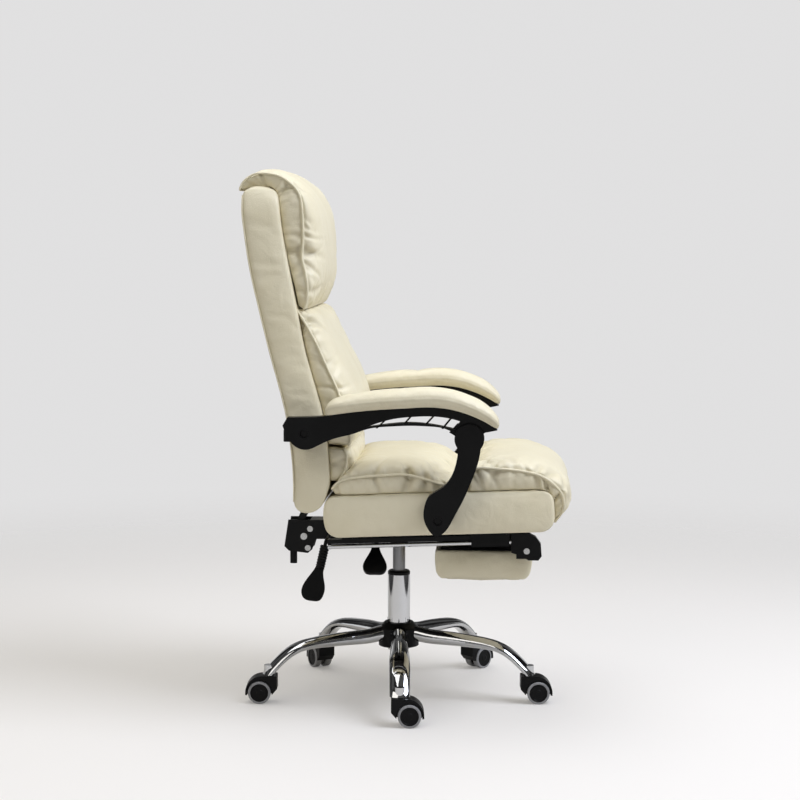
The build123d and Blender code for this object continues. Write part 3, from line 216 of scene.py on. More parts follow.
def normal_array(mesh: bpy.types.Mesh) -> np.ndarray:
    """The mesh's vertex normals.

    Args:
        mesh: The mesh to read.

    Returns:
        One row for each vertex.
    """
    flat = np.empty(len(mesh.vertices) * 3, "f")
    mesh.vertex_normals.foreach_get("vector", flat)
    return flat.reshape(-1, 3).astype(float)


def measure_array(mesh: bpy.types.Mesh, key: str) -> np.ndarray:
    """A float attribute of the mesh's vertices.

    Args:
        mesh: The mesh to read.
        key: The attribute's name.

    Returns:
        One value for each vertex.
    """
    flat = np.empty(len(mesh.vertices), "f")
    mesh.attributes[key].data.foreach_get("value", flat)
    return flat.astype(float)


def set_measure(mesh: bpy.types.Mesh, key: str, values: np.ndarray) -> None:
    """Adds a float attribute with a value for each of the mesh's vertices."""
    mesh.attributes.new(key, "FLOAT", "POINT").data.foreach_set("value", values.astype("f"))


def set_vertices(mesh: bpy.types.Mesh, points: np.ndarray) -> None:
    """Moves the mesh's vertices to the rows of points."""
    mesh.vertices.foreach_set("co", points.ravel())
    mesh.update()


def tube(name: str, path: np.ndarray, outward: np.ndarray, radius: np.ndarray, sides: int,
         closed: bool) -> bpy.types.Object:
    """A round tube along a path.

    A ring stands square to the path at each point: centre + r (cos a N + sin a B), with N the
    outward direction made square to the path and B = T x N.

    Args:
        name: Name of the piece.
        path: Centre line in metres.
        outward: A direction at each point, not along the path.
        radius: Radius at each point, in metres.
        sides: Number of points in a ring.
        closed: Whether the path is a loop; otherwise its ends are capped.

    Returns:
        The tube as a mesh piece.
    """
    if closed:
        along = unit(np.roll(path, -1, axis=0) - np.roll(path, 1, axis=0))
    else:
        along = unit(np.gradient(path, axis=0))
    n = unit(outward - (outward * along).sum(1, keepdims=True) * along)
    b = np.cross(along, n)
    angle = np.linspace(0.0, 2 * np.pi, sides, endpoint=False)
    ring = (np.cos(angle)[None, :, None] * n[:, None] + np.sin(angle)[None, :, None] * b[:, None])
    points = path[:, None] + radius[:, None, None] * ring
    faces = grid_faces(len(path), sides, wrap_rows=closed, wrap_columns=True)
    piece = mesh_piece(name, points.reshape(-1, 3), faces)
    if not closed:
        close_shell(piece.data, fill=True)
    return piece


# ------------------------------------------------------------------ finishes


class NodeTree:
    """A shader node tree that is being drawn: it adds nodes and joins their sockets."""

    def __init__(self, tree: bpy.types.NodeTree) -> None:
        """Starts on an empty tree."""
        self.tree = tree
        tree.nodes.clear()

    def node(self, kind: str, inputs: Optional[dict] = None, **settings: object) -> bpy.types.Node:
        """Adds a node.

        Args:
            kind: Blender's type name without its leading ShaderNode.
            inputs: Values or sockets for the inputs, by name or number.
            **settings: The node's own settings.

        Returns:
            The new node.
        """
        made = self.tree.nodes.new(kind if kind.startswith("Node") else "ShaderNode" + kind)
        for key, value in settings.items():
            setattr(made, key, value)
        for key, value in (inputs or {}).items():
            if isinstance(value, Socket):
                self.tree.links.new(value, made.inputs[key])
            else:
                made.inputs[key].default_value = value
        return made

    def position(self) -> Socket:
        """The place on the object, in metres."""
        return self.node("TexCoord").outputs["Object"]

    def math(self, operation: str, *values: object) -> Socket:
        """The result of a sum on sockets or numbers."""
        return self.node("Math", dict(enumerate(values)), operation=operation).outputs[0]

    def weighed(self, *terms: tuple[Socket, object]) -> Socket:
        """The sum of values, each times its weight.

        Args:
            *terms: Pairs of a value and its weight.

        Returns:
            The sum.
        """
        total, *rest = [self.math("MULTIPLY", value, weight) for value, weight in terms]
        for term in rest:
            total = self.math("ADD", total, term)
        return total

    def ramp(self, value: Socket, low: float, high: float, start: float = 0.0,
             end: float = 1.0) -> Socket:
        """A value mapped smoothly from low..high to start..end, and held there."""
        return self.node("MapRange", {"Value": value, "From Min": low, "From Max": high,
                                      "To Min": start, "To Max": end},
                         interpolation_type="SMOOTHSTEP").outputs[0]

    def blend(self, factor: object, first: object, second: object) -> Socket:
        """A mix of two colours, all first where the factor is 0."""
        mix = self.node("Mix", {0: factor, 6: first, 7: second}, data_type="RGBA")
        return mix.outputs[2]

    def noise(self, where: object, size: object, detail: float = 3.0, rough: float = 0.5,
              warp: float = 0.0) -> Socket:
        """Noise whose lumps are about size millimetres across."""
        scale = self.math("DIVIDE", 1 / MM, size)
        return self.node("TexNoise", {"Vector": where, "Scale": scale, "Detail": detail,
                                      "Roughness": rough, "Distortion": warp}).outputs[0]


class Pattern(Enum):
    """Node groups that more than one finish uses."""

    HIDE = "Hide"
    TONE = "Tone"
    MOULDED = "Moulded"
    SCUFF = "Scuff"


class PatternBook:
    """Builds each node group once and places it in the materials that use it."""

    def __init__(self) -> None:
        """Starts with no group made."""
        self.made: dict[Pattern, bpy.types.NodeTree] = {}

    def place(self, tree: NodeTree, pattern: Pattern, inputs: dict) -> Socket:
        """Places a pattern in a material.

        Args:
            tree: The material's nodes.
            pattern: The pattern, whose group is built when it is first asked for.
            inputs: The finish's values for the group's inputs.

        Returns:
            What the group puts out.
        """
        if pattern not in self.made:
            build = {Pattern.HIDE: self.hide, Pattern.TONE: self.tone,
                     Pattern.MOULDED: self.moulded, Pattern.SCUFF: self.scuff}[pattern]
            self.made[pattern] = build(pattern.value)
        return tree.node("Group", inputs, node_tree=self.made[pattern]).outputs[0]

    @staticmethod
    def start(name: str, inputs: dict, output: str,
              kind: str = "NodeSocketFloat") -> tuple[NodeTree, list[Socket]]:
        """Makes an empty group with named sockets.

        Args:
            name: Name of the group.
            inputs: A default for each input; four numbers make a colour.
            output: Name of the output.
            kind: Socket type of the output.

        Returns:
            The tree that is being drawn and the sockets of its inputs.
        """
        tree = bpy.data.node_groups.new(name, "ShaderNodeTree")
        drawn = NodeTree(tree)
        for key, value in inputs.items():
            given = "NodeSocketColor" if isinstance(value, tuple) else "NodeSocketFloat"
            tree.interface.new_socket(key, in_out="INPUT", socket_type=given).default_value = value
        tree.interface.new_socket(output, in_out="OUTPUT", socket_type=kind)
        return drawn, drawn.node("NodeGroupInput").outputs[:]

    def hide(self, name: str) -> bpy.types.NodeTree:
        """Coated leather: pebbled grain, fine creases and broad slack, as one height.

        The grain is a smooth Voronoi pattern whose place is nudged by noise, a crease is
        where noise is near its middle, and the slack is broad noise.

        Args:
            name: Name of the group.

        Returns:
            The group.
        """
        tree, given = self.start(name, {"Pore Size": 1.4, "Pore Depth": 0.5, "Crease Size": 9.0,
                                        "Crease Depth": 0.6, "Slack Size": 38.0,
                                        "Slack Depth": 1.0}, "Height")
        pore_size, pore_depth, crease_size, crease_depth, slack_size, slack_depth = given[:6]
        where = tree.position()
        stir = tree.node("TexNoise", {"Vector": where, "Scale": 420.0, "Detail": 2.0}).outputs[1]
        nudge = tree.node("VectorMath", {0: stir, "Scale": 0.0011}, operation="SCALE").outputs[0]
        bent = tree.node("VectorMath", {0: where, 1: nudge}, operation="ADD").outputs[0]
        cells = tree.node("TexVoronoi", {"Vector": bent,
                                         "Scale": tree.math("DIVIDE", 1 / MM, pore_size)},
                          feature="SMOOTH_F1").outputs[0]
        pebble = tree.ramp(cells, 0.1, 0.75, 1.0, 0.0)
        middle = tree.math("SUBTRACT", tree.noise(where, crease_size, 4.0, 0.6, 1.6), 0.5)
        crease = tree.ramp(tree.math("ABSOLUTE", middle), 0.0, 0.055)
        slack = tree.noise(where, slack_size, 2.0, 0.45, 0.8)
        tree.node("NodeGroupOutput", {"Height": tree.weighed(
            (pebble, pore_depth), (crease, crease_depth), (slack, slack_depth))})
        return tree.tree

    def tone(self, name: str) -> bpy.types.NodeTree:
        """Colour that drifts slowly over a surface, with fine flecks.

        The drift and the flecks are two sizes of noise, and both lead towards the shade.

        Args:
            name: Name of the group.

        Returns:
            The group.
        """
        tree, given = self.start(name, {"Colour": (0.5, 0.5, 0.5, 1.0),
                                        "Shade": (0.4, 0.4, 0.4, 1.0), "Patch Size": 120.0,
                                        "Strength": 0.5, "Fleck": 0.05},
                                 "Colour", "NodeSocketColor")
        colour, shade, patch_size, strength, fleck = given[:5]
        where = tree.position()
        broad = tree.ramp(tree.noise(where, patch_size, 3.0, 0.55, 0.6), 0.35, 0.7)
        fine = tree.ramp(tree.noise(where, 2.2, 2.0, 0.7), 0.45, 0.72)
        share = tree.weighed((broad, strength), (fine, fleck))
        tree.node("NodeGroupOutput", {"Colour": tree.blend(share, colour, shade)})
        return tree.tree

    def moulded(self, name: str) -> bpy.types.NodeTree:
        """Spark-eroded mould texture of plastic, or orange peel of paint, as a height.

        Fine noise is the texture, and broad noise the sink marks.

        Args:
            name: Name of the group.

        Returns:
            The group.
        """
        tree, given = self.start(name, {"Grain Size": 0.8, "Grain Depth": 0.6,
                                        "Sink Size": 30.0, "Sink Depth": 0.4}, "Height")
        grain_size, grain_depth, sink_size, sink_depth = given[:4]
        where = tree.position()
        grain = tree.noise(where, grain_size, 3.0, 0.65)
        sink = tree.noise(where, sink_size, 1.0)
        tree.node("NodeGroupOutput", {"Height": tree.weighed((grain, grain_depth),
                                                             (sink, sink_depth))})
        return tree.tree

    def scuff(self, name: str) -> bpy.types.NodeTree:
        """Smudges and fine rubbed lines of handling, as a mask.

        A smudge is where broad noise is high, and a line is where noise that is stretched
        along one direction is high.

        Args:
            name: Name of the group.

        Returns:
            The group.
        """
        tree, given = self.start(name, {"Smudge Size": 45.0, "Line Size": 1.5, "Amount": 0.5},
                                 "Mask")
        smudge_size, line_size, amount = given[:3]
        where = tree.position()
        smudge = tree.ramp(tree.noise(where, smudge_size, 4.0, 0.6, 1.2), 0.42, 0.7)
        stretched = tree.node("Mapping", {"Vector": where, "Scale": (0.12, 1.0, 1.0),
                                          "Rotation": (0.3, 0.5, 0.9)}).outputs[0]
        lines = tree.ramp(tree.noise(stretched, line_size, 2.0, 0.8), 0.62, 0.78)
        both = tree.math("ADD", smudge, tree.math("MULTIPLY", lines, 0.5))
        tree.node("NodeGroupOutput", {"Mask": tree.math("MULTIPLY", both, amount)})
        return tree.tree


BOOK = PatternBook()


@dataclass(frozen=True)
class Finish:
    """A finish that every finish of the chair builds on.

    Colours are linear RGB, and sizes and depths are in millimetres.
    """

    name: str
    colour: tuple[float, float, float]
    shade: tuple[float, float, float]
    roughness: float = 0.4
    worn_roughness: float = 0.55
    metallic: float = 0.0
    patch_size: float = 120.0
    patch_strength: float = 0.4
    fleck: float = 0.05
    scuff: float = 0.5
    specular: float = 0.5

    def relief(self, tree: NodeTree) -> Optional[Socket]:
        """The surface's height in millimetres; a plain finish has none."""
        return None

    def tint(self, tree: NodeTree, colour: Socket) -> Socket:
        """The last change of colour; a plain finish makes none."""
        return colour

    def material(self) -> bpy.types.Material:
        """Draws the finish.

        Returns:
            A material of procedural nodes.
        """
        made = bpy.data.materials.new(self.name)
        made.use_nodes = True
        tree = NodeTree(made.node_tree)
        tone = BOOK.place(tree, Pattern.TONE, {
            "Colour": (*self.colour, 1.0), "Shade": (*self.shade, 1.0),
            "Patch Size": self.patch_size, "Strength": self.patch_strength,
            "Fleck": self.fleck})
        worn = BOOK.place(tree, Pattern.SCUFF, {"Amount": self.scuff})
        shader = tree.node("BsdfPrincipled", {
            "Base Color": self.tint(tree, tone),
            "Roughness": tree.ramp(worn, 0.0, 1.0, self.roughness, self.worn_roughness),
            "Metallic": self.metallic, "Specular IOR Level": self.specular})
        height = self.relief(tree)
        if height is not None:
            bump = tree.node("Bump", {"Height": height, "Distance": MM, "Strength": 1.0})
            tree.tree.links.new(bump.outputs[0], shader.inputs["Normal"])
        tree.node("OutputMaterial", {"Surface": shader.outputs[0]})
        return made


@dataclass(frozen=True)
class Leather(Finish):
    """Polyurethane-coated leather with a pebbled grain."""

    pore_size: float = 1.3
    pore_depth: float = 0.16
    crease_size: float = 16.0
    crease_depth: float = 0.10
    slack_size: float = 42.0
    slack_depth: float = 2.4
    dust_and_shade_amount: float = 0.30     # how far the hide darkens: painted shade in its folds, painted shade with some dust at its seams
    dust_and_shade_level: float = 0.55           # brightness of that painted shade and dust, as a share of the shade's

    def relief(self, tree: NodeTree) -> Optional[Socket]:
        """Grain, creases and slack of the hide."""
        return BOOK.place(tree, Pattern.HIDE, {
            "Pore Size": self.pore_size, "Pore Depth": self.pore_depth,
            "Crease Size": self.crease_size, "Crease Depth": self.crease_depth,
            "Slack Size": self.slack_size, "Slack Depth": self.slack_depth})

    def tint(self, tree: NodeTree, colour: Socket) -> Socket:
        """Darkens the hide a little with painted shade in its folds, and with painted shade and
        some dust beside its seams.
        """
        # painted shade: the seam attribute is high beside the seams and in deep folds, and pulls
        # the colour towards a darker shade
        near = tree.node("Attribute", attribute_name="seam").outputs["Fac"]
        return tree.blend(tree.math("MULTIPLY", near, self.dust_and_shade_amount), colour,
                          tuple(self.dust_and_shade_level * c for c in self.shade) + (1.0,))


@dataclass(frozen=True)
class Moulding(Finish):
    """Moulded plastic or painted metal with a fine texture."""

    grain_size: float = 0.7
    grain_depth: float = 0.05
    sink_size: float = 35.0
    sink_depth: float = 0.10

    def relief(self, tree: NodeTree) -> Optional[Socket]:
        """Mould texture over faint sink marks."""
        return BOOK.place(tree, Pattern.MOULDED, {
            "Grain Size": self.grain_size, "Grain Depth": self.grain_depth,
            "Sink Size": self.sink_size, "Sink Depth": self.sink_depth})


@dataclass(frozen=True)
class Plywood(Moulding):
    """Black-stained plywood, whose long figure shows through the stain."""

    figure_size: float = 9.0
    figure_stretch: float = 0.09     # along the board
    figure_strength: float = 0.6

    def tint(self, tree: NodeTree, colour: Socket) -> Socket:
        """Draws the wood's figure: bands of noise stretched along the board.

        Args:
            tree: The material's nodes.
            colour: The colour so far.

        Returns:
            The colour with the figure.
        """
        long = tree.node("Mapping", {"Vector": tree.position(),
                                     "Scale": (self.figure_stretch, 1.0, 1.0)}).outputs[0]
        figure = tree.ramp(tree.noise(long, self.figure_size, 5.0, 0.65, 1.8), 0.4, 0.66)
        return tree.blend(tree.math("MULTIPLY", figure, self.figure_strength), colour,
                          (*self.shade, 1.0))


class Palette:
    """The chair's finishes: one for each of the record's material slots, and one more."""

    def __init__(self) -> None:
        """Builds the materials."""
        rows = (
            Leather("cream_leather", (0.82, 0.755, 0.56), (0.73, 0.65, 0.44), 0.40, 0.52,
                    patch_size=150.0, patch_strength=0.35, fleck=0.08, scuff=0.6),
            Finish("chrome", (0.66, 0.665, 0.67), (0.58, 0.59, 0.60), 0.045, 0.16, 1.0,
                   patch_size=60.0, patch_strength=0.3, scuff=0.25),
            Moulding("black_plastic", (0.0035, 0.0035, 0.0036), (0.007, 0.007, 0.007), 0.36,
                     0.5, fleck=0.25, scuff=0.6, specular=0.14),
            Moulding("wheel_plastic", (0.004, 0.004, 0.0042), (0.009, 0.009, 0.009), 0.34,
                     0.5, fleck=0.3, scuff=0.8, specular=0.14),
            Moulding("grey_tyre", (0.30, 0.30, 0.305), (0.21, 0.21, 0.21), 0.55, 0.7,
                     patch_size=18.0, patch_strength=0.6, fleck=0.4, scuff=0.6),
            Moulding("black_metal", (0.0035, 0.0035, 0.0036), (0.007, 0.007, 0.007), 0.32, 0.45,
                     fleck=0.2, scuff=0.5, grain_size=1.6, grain_depth=0.03, specular=0.16),
            Moulding("steel", (0.58, 0.58, 0.57), (0.44, 0.44, 0.43), 0.24, 0.4, 1.0,
                     patch_size=14.0, patch_strength=0.5, scuff=0.7, grain_depth=0.01,
                     sink_depth=0.02),
            Plywood("plywood", (0.016, 0.015, 0.014), (0.030, 0.028, 0.025), 0.62, 0.75,
                    fleck=0.3, grain_size=1.2, grain_depth=0.12, specular=0.3),
            Moulding("satin_cylinder", (0.28, 0.28, 0.285), (0.23, 0.23, 0.24), 0.30, 0.42, 1.0,
                     patch_size=40.0, scuff=0.4, grain_depth=0.008, sink_depth=0.01),
        )
        self.materials = {row.name: row.material() for row in rows}

    def dress_frame(self, nodes: dict[str, bpy.types.Object]) -> None:
        """Gives every CAD node the finish of its slot.

        Args:
            nodes: The CAD nodes by name.
        """
        special = {"gas_cylinder": "satin_cylinder", "arm_bolts": "black_metal",
                   "strut_bolts": "black_metal"}
        for name, node in nodes.items():
            for held in node.material_slots:
                slot = held.material.name.split(".")[0]
                held.material = self.materials[special.get(name, slot)]


# ------------------------------------------------------------------ cushions


@dataclass(frozen=True)
class SideView:
    """The plane that a cushion is drawn in: the chair's side view, tipped and raised."""

    tilt: float = 0.0        # degrees
    height: float = 0.0

    def to_chair(self, side: np.ndarray, across: np.ndarray) -> np.ndarray:
        """Chair coordinates in metres: x = u cos t - w sin t, z = h + u sin t + w cos t.

        Args:
            side: Places (u, w) in the side view.
            across: Distances across the chair.

        Returns:
            An array of points, with the shape of across.
        """
        c, s = math.cos(math.radians(self.tilt)), math.sin(math.radians(self.tilt))
        u, w = side[..., 0], side[..., 1]
        return np.stack([u * c - w * s, across, self.height + u * s + w * c], -1) * MM

    def to_side(self, points: np.ndarray) -> tuple[np.ndarray, np.ndarray]:
        """The reverse of to_chair.

        Args:
            points: Points in metres, one row each.

        Returns:
            Places in the side view and distances across the chair.
        """
        c, s = math.cos(math.radians(self.tilt)), math.sin(math.radians(self.tilt))
        x, z = points[:, 0] / MM, points[:, 2] / MM - self.height
        return np.stack([x * c + z * s, z * c - x * s], -1), points[:, 1] / MM


UPRIGHT = SideView()
SEAT = SideView(2.3, 394.6)


@dataclass(frozen=True)
class Folds:
    """Folds pressed into a stuffed skin, in millimetres."""

    spacing: float = 25.0    # between puckers along a seam
    depth: float = 8.0
    length: float = 32.0
    width: float = 5.6
    corner_folds: int = 4    # long folds that run in from each corner of the face
    side_folds: int = 6
    fold_depth: float = 3.4
    fold_length: float = 95.0
    fold_width: float = 9.0
    tucks: tuple[tuple[float, float, float, float], ...] = ()  # share, depth, width, slant
    groove: float = 1.1      # depth of the groove beside a seam
    groove_place: float = 3.0
    groove_width: float = 2.6
    shade_reach: float = 7.0     # how far from a seam the hide is shaded
    shade_from: float = 1.0      # depth of fold at which the shade begins
    shade_full: float = 7.0      # and at which it is full

    def puckers(self, a: np.ndarray, r: np.ndarray, rng: np.random.Generator,
                tucks: Table) -> np.ndarray:
        """Depth of the puckers along the seams at two opposite sides.

        A pucker's depth is d exp(-((a - a0 - k r) / w)^2) exp(-r / l) (1 - exp(-(r / 3)^2)),
        with a the place along the seam, r the distance from it and k the pucker's slant.

        Args:
            a: Places along the seams.
            r: Distances from them.
            rng: Source of the puckers' places and sizes.
            tucks: Deeper puckers at given shares of each seam.

        Returns:
            The depth at each point.
        """
        total = np.zeros(len(a))
        margin = 8       # of the puckers from the seam's ends
        onset = 3.0      # distance from the seam in which a pucker deepens
        for side in (0.0, OTHER_SIDE):
            here = a[np.abs(a - side) < 2 * FAR] - side
            if not len(here):
                continue
            lo, hi = here.min() + margin, here.max() - margin
            n = max(2, round((hi - lo) / self.spacing))
            at = lo + (hi - lo) * (np.arange(n) + rng.uniform(0.15, 0.85, n)) / n + side
            deep = self.depth * rng.uniform(0.25, 1.0, n) ** 1.5
            long = self.length * rng.uniform(0.5, 1.3, n)
            wide = self.width * rng.uniform(0.8, 1.4, n)
            slant = rng.normal(0.0, 0.35, n)
            if tucks:
                share, tuck, breadth, lean = np.array(tucks).T
                at = np.append(at, lo - margin + (hi - lo + 2 * margin) * share + side)
                deep, wide = np.append(deep, tuck), np.append(wide, breadth)
                long = np.append(long, np.full(len(share), 1.2 * self.length))
                slant = np.append(slant, lean)
            total += (deep * np.exp(-((a[:, None] - at - slant * r[:, None]) / wide) ** 2)
                      * np.exp(-r[:, None] / long)
                      * (1 - np.exp(-(r[:, None] / onset) ** 2))).sum(1)
        return total

    def long_folds(self, p: np.ndarray, q: np.ndarray, rng: np.random.Generator) -> np.ndarray:
        """Depth of the long folds: from the corners inwards, and across from the sides.

        A fold is a slightly bent groove: its depth falls off as exp(-(c / w)^2) with the
        distance c from its line, and fades to nothing at both ends.

        Args:
            p: Places along the face.
            q: Places across it.
            rng: Source of the folds' places and sizes.

        Returns:
            The depth at each point.
        """
        p_hi, q_hi = p.max(), np.abs(q).max()
        starts: list[tuple[float, float, float]] = []     # place on the face and direction
        for corner in range(4):
            p0, p_dir = (0.0, 1) if corner % 2 else (p_hi, -1)
            q0, q_dir = (-q_hi, 1) if corner < 2 else (q_hi, -1)
            for _ in range(self.corner_folds):
                turn = rng.uniform(0.35, 1.25)
                starts.append((p0 + p_dir * rng.uniform(4, 40), q0 + q_dir * rng.uniform(4, 40),
                               math.atan2(q_dir * math.sin(turn), p_dir * math.cos(turn))))
        for _ in range(self.side_folds):      # from just inside a side seam
            q_dir = rng.choice([-1.0, 1.0])
            starts.append((rng.uniform(0.12, 0.88) * p_hi, -q_dir * q_hi * 0.97,
                           q_dir * rng.uniform(1.1, 2.0)))
        total = np.zeros(len(p))
        for p0, q0, turn in starts:
            long = self.fold_length * rng.uniform(0.5, 1.25)
            wide = self.fold_width * rng.uniform(0.75, 1.3)
            deep = self.fold_depth * rng.uniform(0.35, 1.0)
            x, y = p - p0, q - q0
            ahead = (x * math.cos(turn) + y * math.sin(turn)) / long
            bend = rng.uniform(-0.12, 0.12) * long
            aside = -x * math.sin(turn) + y * math.cos(turn) - bend * ahead ** 2
            total += deep * np.exp(-(aside / wide) ** 2) * ease(ahead * 4) * ease(
                (1 - ahead) * 1.6)
        return total


@dataclass
class Patch:
    """A patch of a skin: a grid of points, with what each knows of the face's seams.

    The side seams run along the cushion, and the end seams across it.
    """

    side: np.ndarray             # places in the side view
    across: np.ndarray           # distances across the chair
    along: Measure = FAR         # place along the nearer side seam
    away: Measure = FAR          # distance from it
    along_end: Measure = FAR     # the same for the end seams
    away_end: Measure = FAR
    p: Measure = 0.0             # place on the face, along it and across it
    q: Measure = 0.0
    on_face: Measure = 0.0
    held: Measure = 0.0          # 1 where the cloth can't move


MEASURES = ("along", "away", "along_end", "away_end", "p", "q", "on_face", "held")


@dataclass
class Draft:
    """What a cushion's patches are drawn from: one row for each place along the side view."""

    t: np.ndarray                # parameter of each row
    dist: np.ndarray             # distance of each row along the seam
    crown: np.ndarray            # the face's middle
    seam: np.ndarray
    back: np.ndarray
    half: np.ndarray             # half width at the seam
    share: np.ndarray            # of the half width, at each column of the face
    height: np.ndarray           # of the face there, as a share of its middle's
    inwards: np.ndarray          # distance of each column from the nearer seam
    tau: np.ndarray              # steps from the seam to the back
    deep: np.ndarray             # distance from the seam to the back
    waves: list[np.ndarray]      # how the seams at the two sides wander


@dataclass
class Cushion:
    """A padded piece: a closed skin drawn by stations along its side view.

    A station is seven numbers: the face's middle (u, w), the seam at the face's side (u, w),
    the back surface (u, w) and the half width at the seam. Between the seams the face is
    seam + (middle - seam) f(s), with f the superellipse (1 - |s|^p)^(1/q) across the width.
    """

    name: str
    node: str
    body: str
    stations: Table
    view: SideView = UPRIGHT
    middle: float = 0.0                 # across the chair
    inset: float = 6.0                  # of the back surface's sides from the seams
    roundness: float = 2.6              # how flat the face's middle is
    fullness: float = 2.0               # how full its sides are
    waves: float = 0.0                  # of the seams at the sides
    wave_length: float = 55.0
    cell: float = 7.0
    swell: float = 3.0                  # of the side bands at their middle
    band_power: float = 2.0
    first_end: Optional[Table] = None   # outline of the end, from the seam to the back
    last_end: Optional[Table] = None
    first_wrap: float = 0.0             # how far the end's outline reaches the sides
    last_wrap: float = 0.0
    hollow: Optional[tuple[float, float, float, float]] = None    # lo, hi, half width, level
    pressure: float = 4.0
    slack: float = 0.03
    travel: float = 22.0
    start_share: float = 0.92           # of the face's height before it is stuffed
    room: tuple[float, float, float, float] = (-FAR, -FAR, FAR * 2, FAR * 2)
    folds: Folds = field(default_factory=Folds)
    piping: float = 2.4                 # radius; 0 for none
    corded_ends: tuple[bool, bool] = (True, True)
    fill: float = 0.7
    seed: int = 1
    piece: Optional[bpy.types.Object] = field(default=None, init=False)
    cord: Optional[np.ndarray] = field(default=None, init=False)

    def columns(self, rise: float, width: float,
                count: int) -> tuple[np.ndarray, np.ndarray, np.ndarray]:
        """Stations across the face, evenly spaced along its curve.

        Args:
            rise: Height of the face's middle over the seam.
            width: Half width.
            count: Number of spans.

        Returns:
            Shares of the half width from -1 to 1, the face's rise at each, and the distance
            along the curve to the nearer seam.
        """
        angle = np.linspace(-np.pi / 2, np.pi / 2, FINE_ACROSS)
        share = np.sign(np.sin(angle)) * np.abs(np.sin(angle)) ** (2 / self.roundness)
        height = np.cos(angle).clip(0.0, 1.0) ** (2 / self.fullness)
        path = np.concatenate(([0.0], np.cumsum(np.hypot(np.diff(share * width),
                                                         np.diff(height * rise)))))
        even = np.linspace(0.0, path[-1], count + 1)
        return (np.interp(even, path, share), np.clip(np.interp(even, path, height), 0.0, 1.0),
                np.minimum(even, path[-1] - even))

    def draft(self) -> Draft:
        """Works out the rows and columns of the patches from the stations.

        Returns:
            The draft.
        """
        rough = smooth_line(self.stations, np.linspace(0, 1, FINE_ALONG))
        length = np.linalg.norm(np.diff(rough[:, 2:4], axis=0), axis=1).sum()
        t = np.linspace(0, 1, max(6, round(length / self.cell)) + 1)
        rows = smooth_line(self.stations, t)
        crown, seam, back, half = rows[:, 0:2], rows[:, 2:4], rows[:, 4:6], rows[:, 6]
        rise = float(np.linalg.norm(crown - seam, axis=1).mean())
        count = 2 * max(2, round((half.max() + 0.6 * rise) / self.cell))
        deep = np.linalg.norm(seam - back, axis=1)
        tau = np.linspace(0, 1, max(3, round(float(deep.mean()) / self.cell)) + 1)
        rng = np.random.default_rng(self.seed + WAVE_SEED)
        knots = max(4, round(length / self.wave_length))
        waves = [smooth_line(rng.normal(0, 1, (knots, 1)).repeat(2, 1), t) * self.waves
                 * np.sin(np.pi * t)[:, None] ** 0.5 * unit(crown - seam) for _ in range(2)]
        return Draft(t, t * length, crown, seam, back, half,
                     *self.columns(rise, float(half.max()), count), tau, deep, waves)

    def end_curve(self, draft: Draft, last: bool) -> tuple[np.ndarray, float]:
        """How far an end's outline stands off the straight line from seam to back.

        Args:
            draft: The cushion's draft.
            last: Whether it is the last end, and not the first.

        Returns:
            The offset at each step from seam to back, and how far it reaches the sides.
        """
        i, inner = (-1, -2) if last else (0, 1)
        profile, wrap = ((self.last_end, self.last_wrap) if last
                         else (self.first_end, self.first_wrap))
        seam, back, tau = draft.seam[i], draft.back[i], draft.tau
        if profile is None:
            outward = unit(seam - draft.seam[inner])
            return outward * (self.swell * (1 - (2 * tau - 1) ** 2))[:, None], wrap
        off = smooth_line(profile, tau) - (seam + (back - seam) * tau[:, None])
        off -= off[0] + (off[-1] - off[0]) * tau[:, None]
        return off, wrap

    def face_patch(self, draft: Draft, share: float) -> Patch:
        """The face, crowned between its seams.

        Args:
            draft: The cushion's draft.
            share: How much of the face's height to draw.

        Returns:
            The patch, held at its edge.
        """
        right, left = draft.waves[1][:, None], draft.waves[0][:, None]
        seam, s, height = draft.seam[:, None], draft.share, draft.height
        side = (seam + (draft.crown[:, None] - seam) * (height * share)[None, :, None]
                + np.where(s[None, :, None] > 0, left, right) * (1 - height)[None, :, None])
        across, dist = draft.half[:, None] * s[None], draft.dist[:, None]
        held = np.ones_like(across)
        held[1:-1, 1:-1] = 0.0
        return Patch(side, across, along=dist + OTHER_SIDE * (s > 0)[None],
                     away=draft.inwards[None],
                     along_end=across + OTHER_SIDE * (draft.t > 0.5)[:, None],
                     away_end=np.minimum(dist, dist[-1] - dist),
                     p=dist, q=across, on_face=1.0, held=held)

    def back_patch(self, draft: Draft) -> Patch:
        """The surface that lies on the frame, raised over its hollow; all of it is held.

        Args:
            draft: The cushion's draft.

        Returns:
            The patch.
        """
        side = np.repeat(draft.back[:, None], len(draft.share), 1)
        across = ((draft.half - self.inset)[:, None]
                  * np.linspace(-1, 1, len(draft.share))[None])
        if self.hollow:
            lo, hi, half_width, level = self.hollow
            inside = (side[..., 0] > lo) & (side[..., 0] < hi) & (np.abs(across) < half_width)
            side[..., 1] = np.where(inside, level, side[..., 1])
        return Patch(side, across, held=1.0)

    def side_patches(self, draft: Draft) -> list[Patch]:
        """The bands from the seams at both sides to the back, which swell at their middle.

        Args:
            draft: The cushion's draft.

        Returns:
            The left band and the right one.
        """
        seam, tau, t = draft.seam[:, None], draft.tau, draft.t
        band = seam + (draft.back[:, None] - seam) * tau[None, :, None]
        for last, ahead in ((False, draft.dist), (True, draft.dist[-1] - draft.dist)):
            off, wrap = self.end_curve(draft, last)
            band = band + wrap * ease(1 - ahead / END_REACH)[:, None, None] * off[None]
        puff = self.swell * (1 - np.abs(2 * tau - 1) ** self.band_power)
        across = (draft.half[:, None] - self.inset * tau[None]
                  + puff[None] * (1 - (2 * t - 1) ** 8)[:, None])
        return [Patch(band + wave[:, None] * (1 - tau)[None, :, None], sign * across,
                      along=draft.dist[:, None] + OTHER_SIDE * (sign > 0),
                      away=tau[None] * draft.deep[:, None])
                for sign, wave in zip((1, -1), draft.waves)]

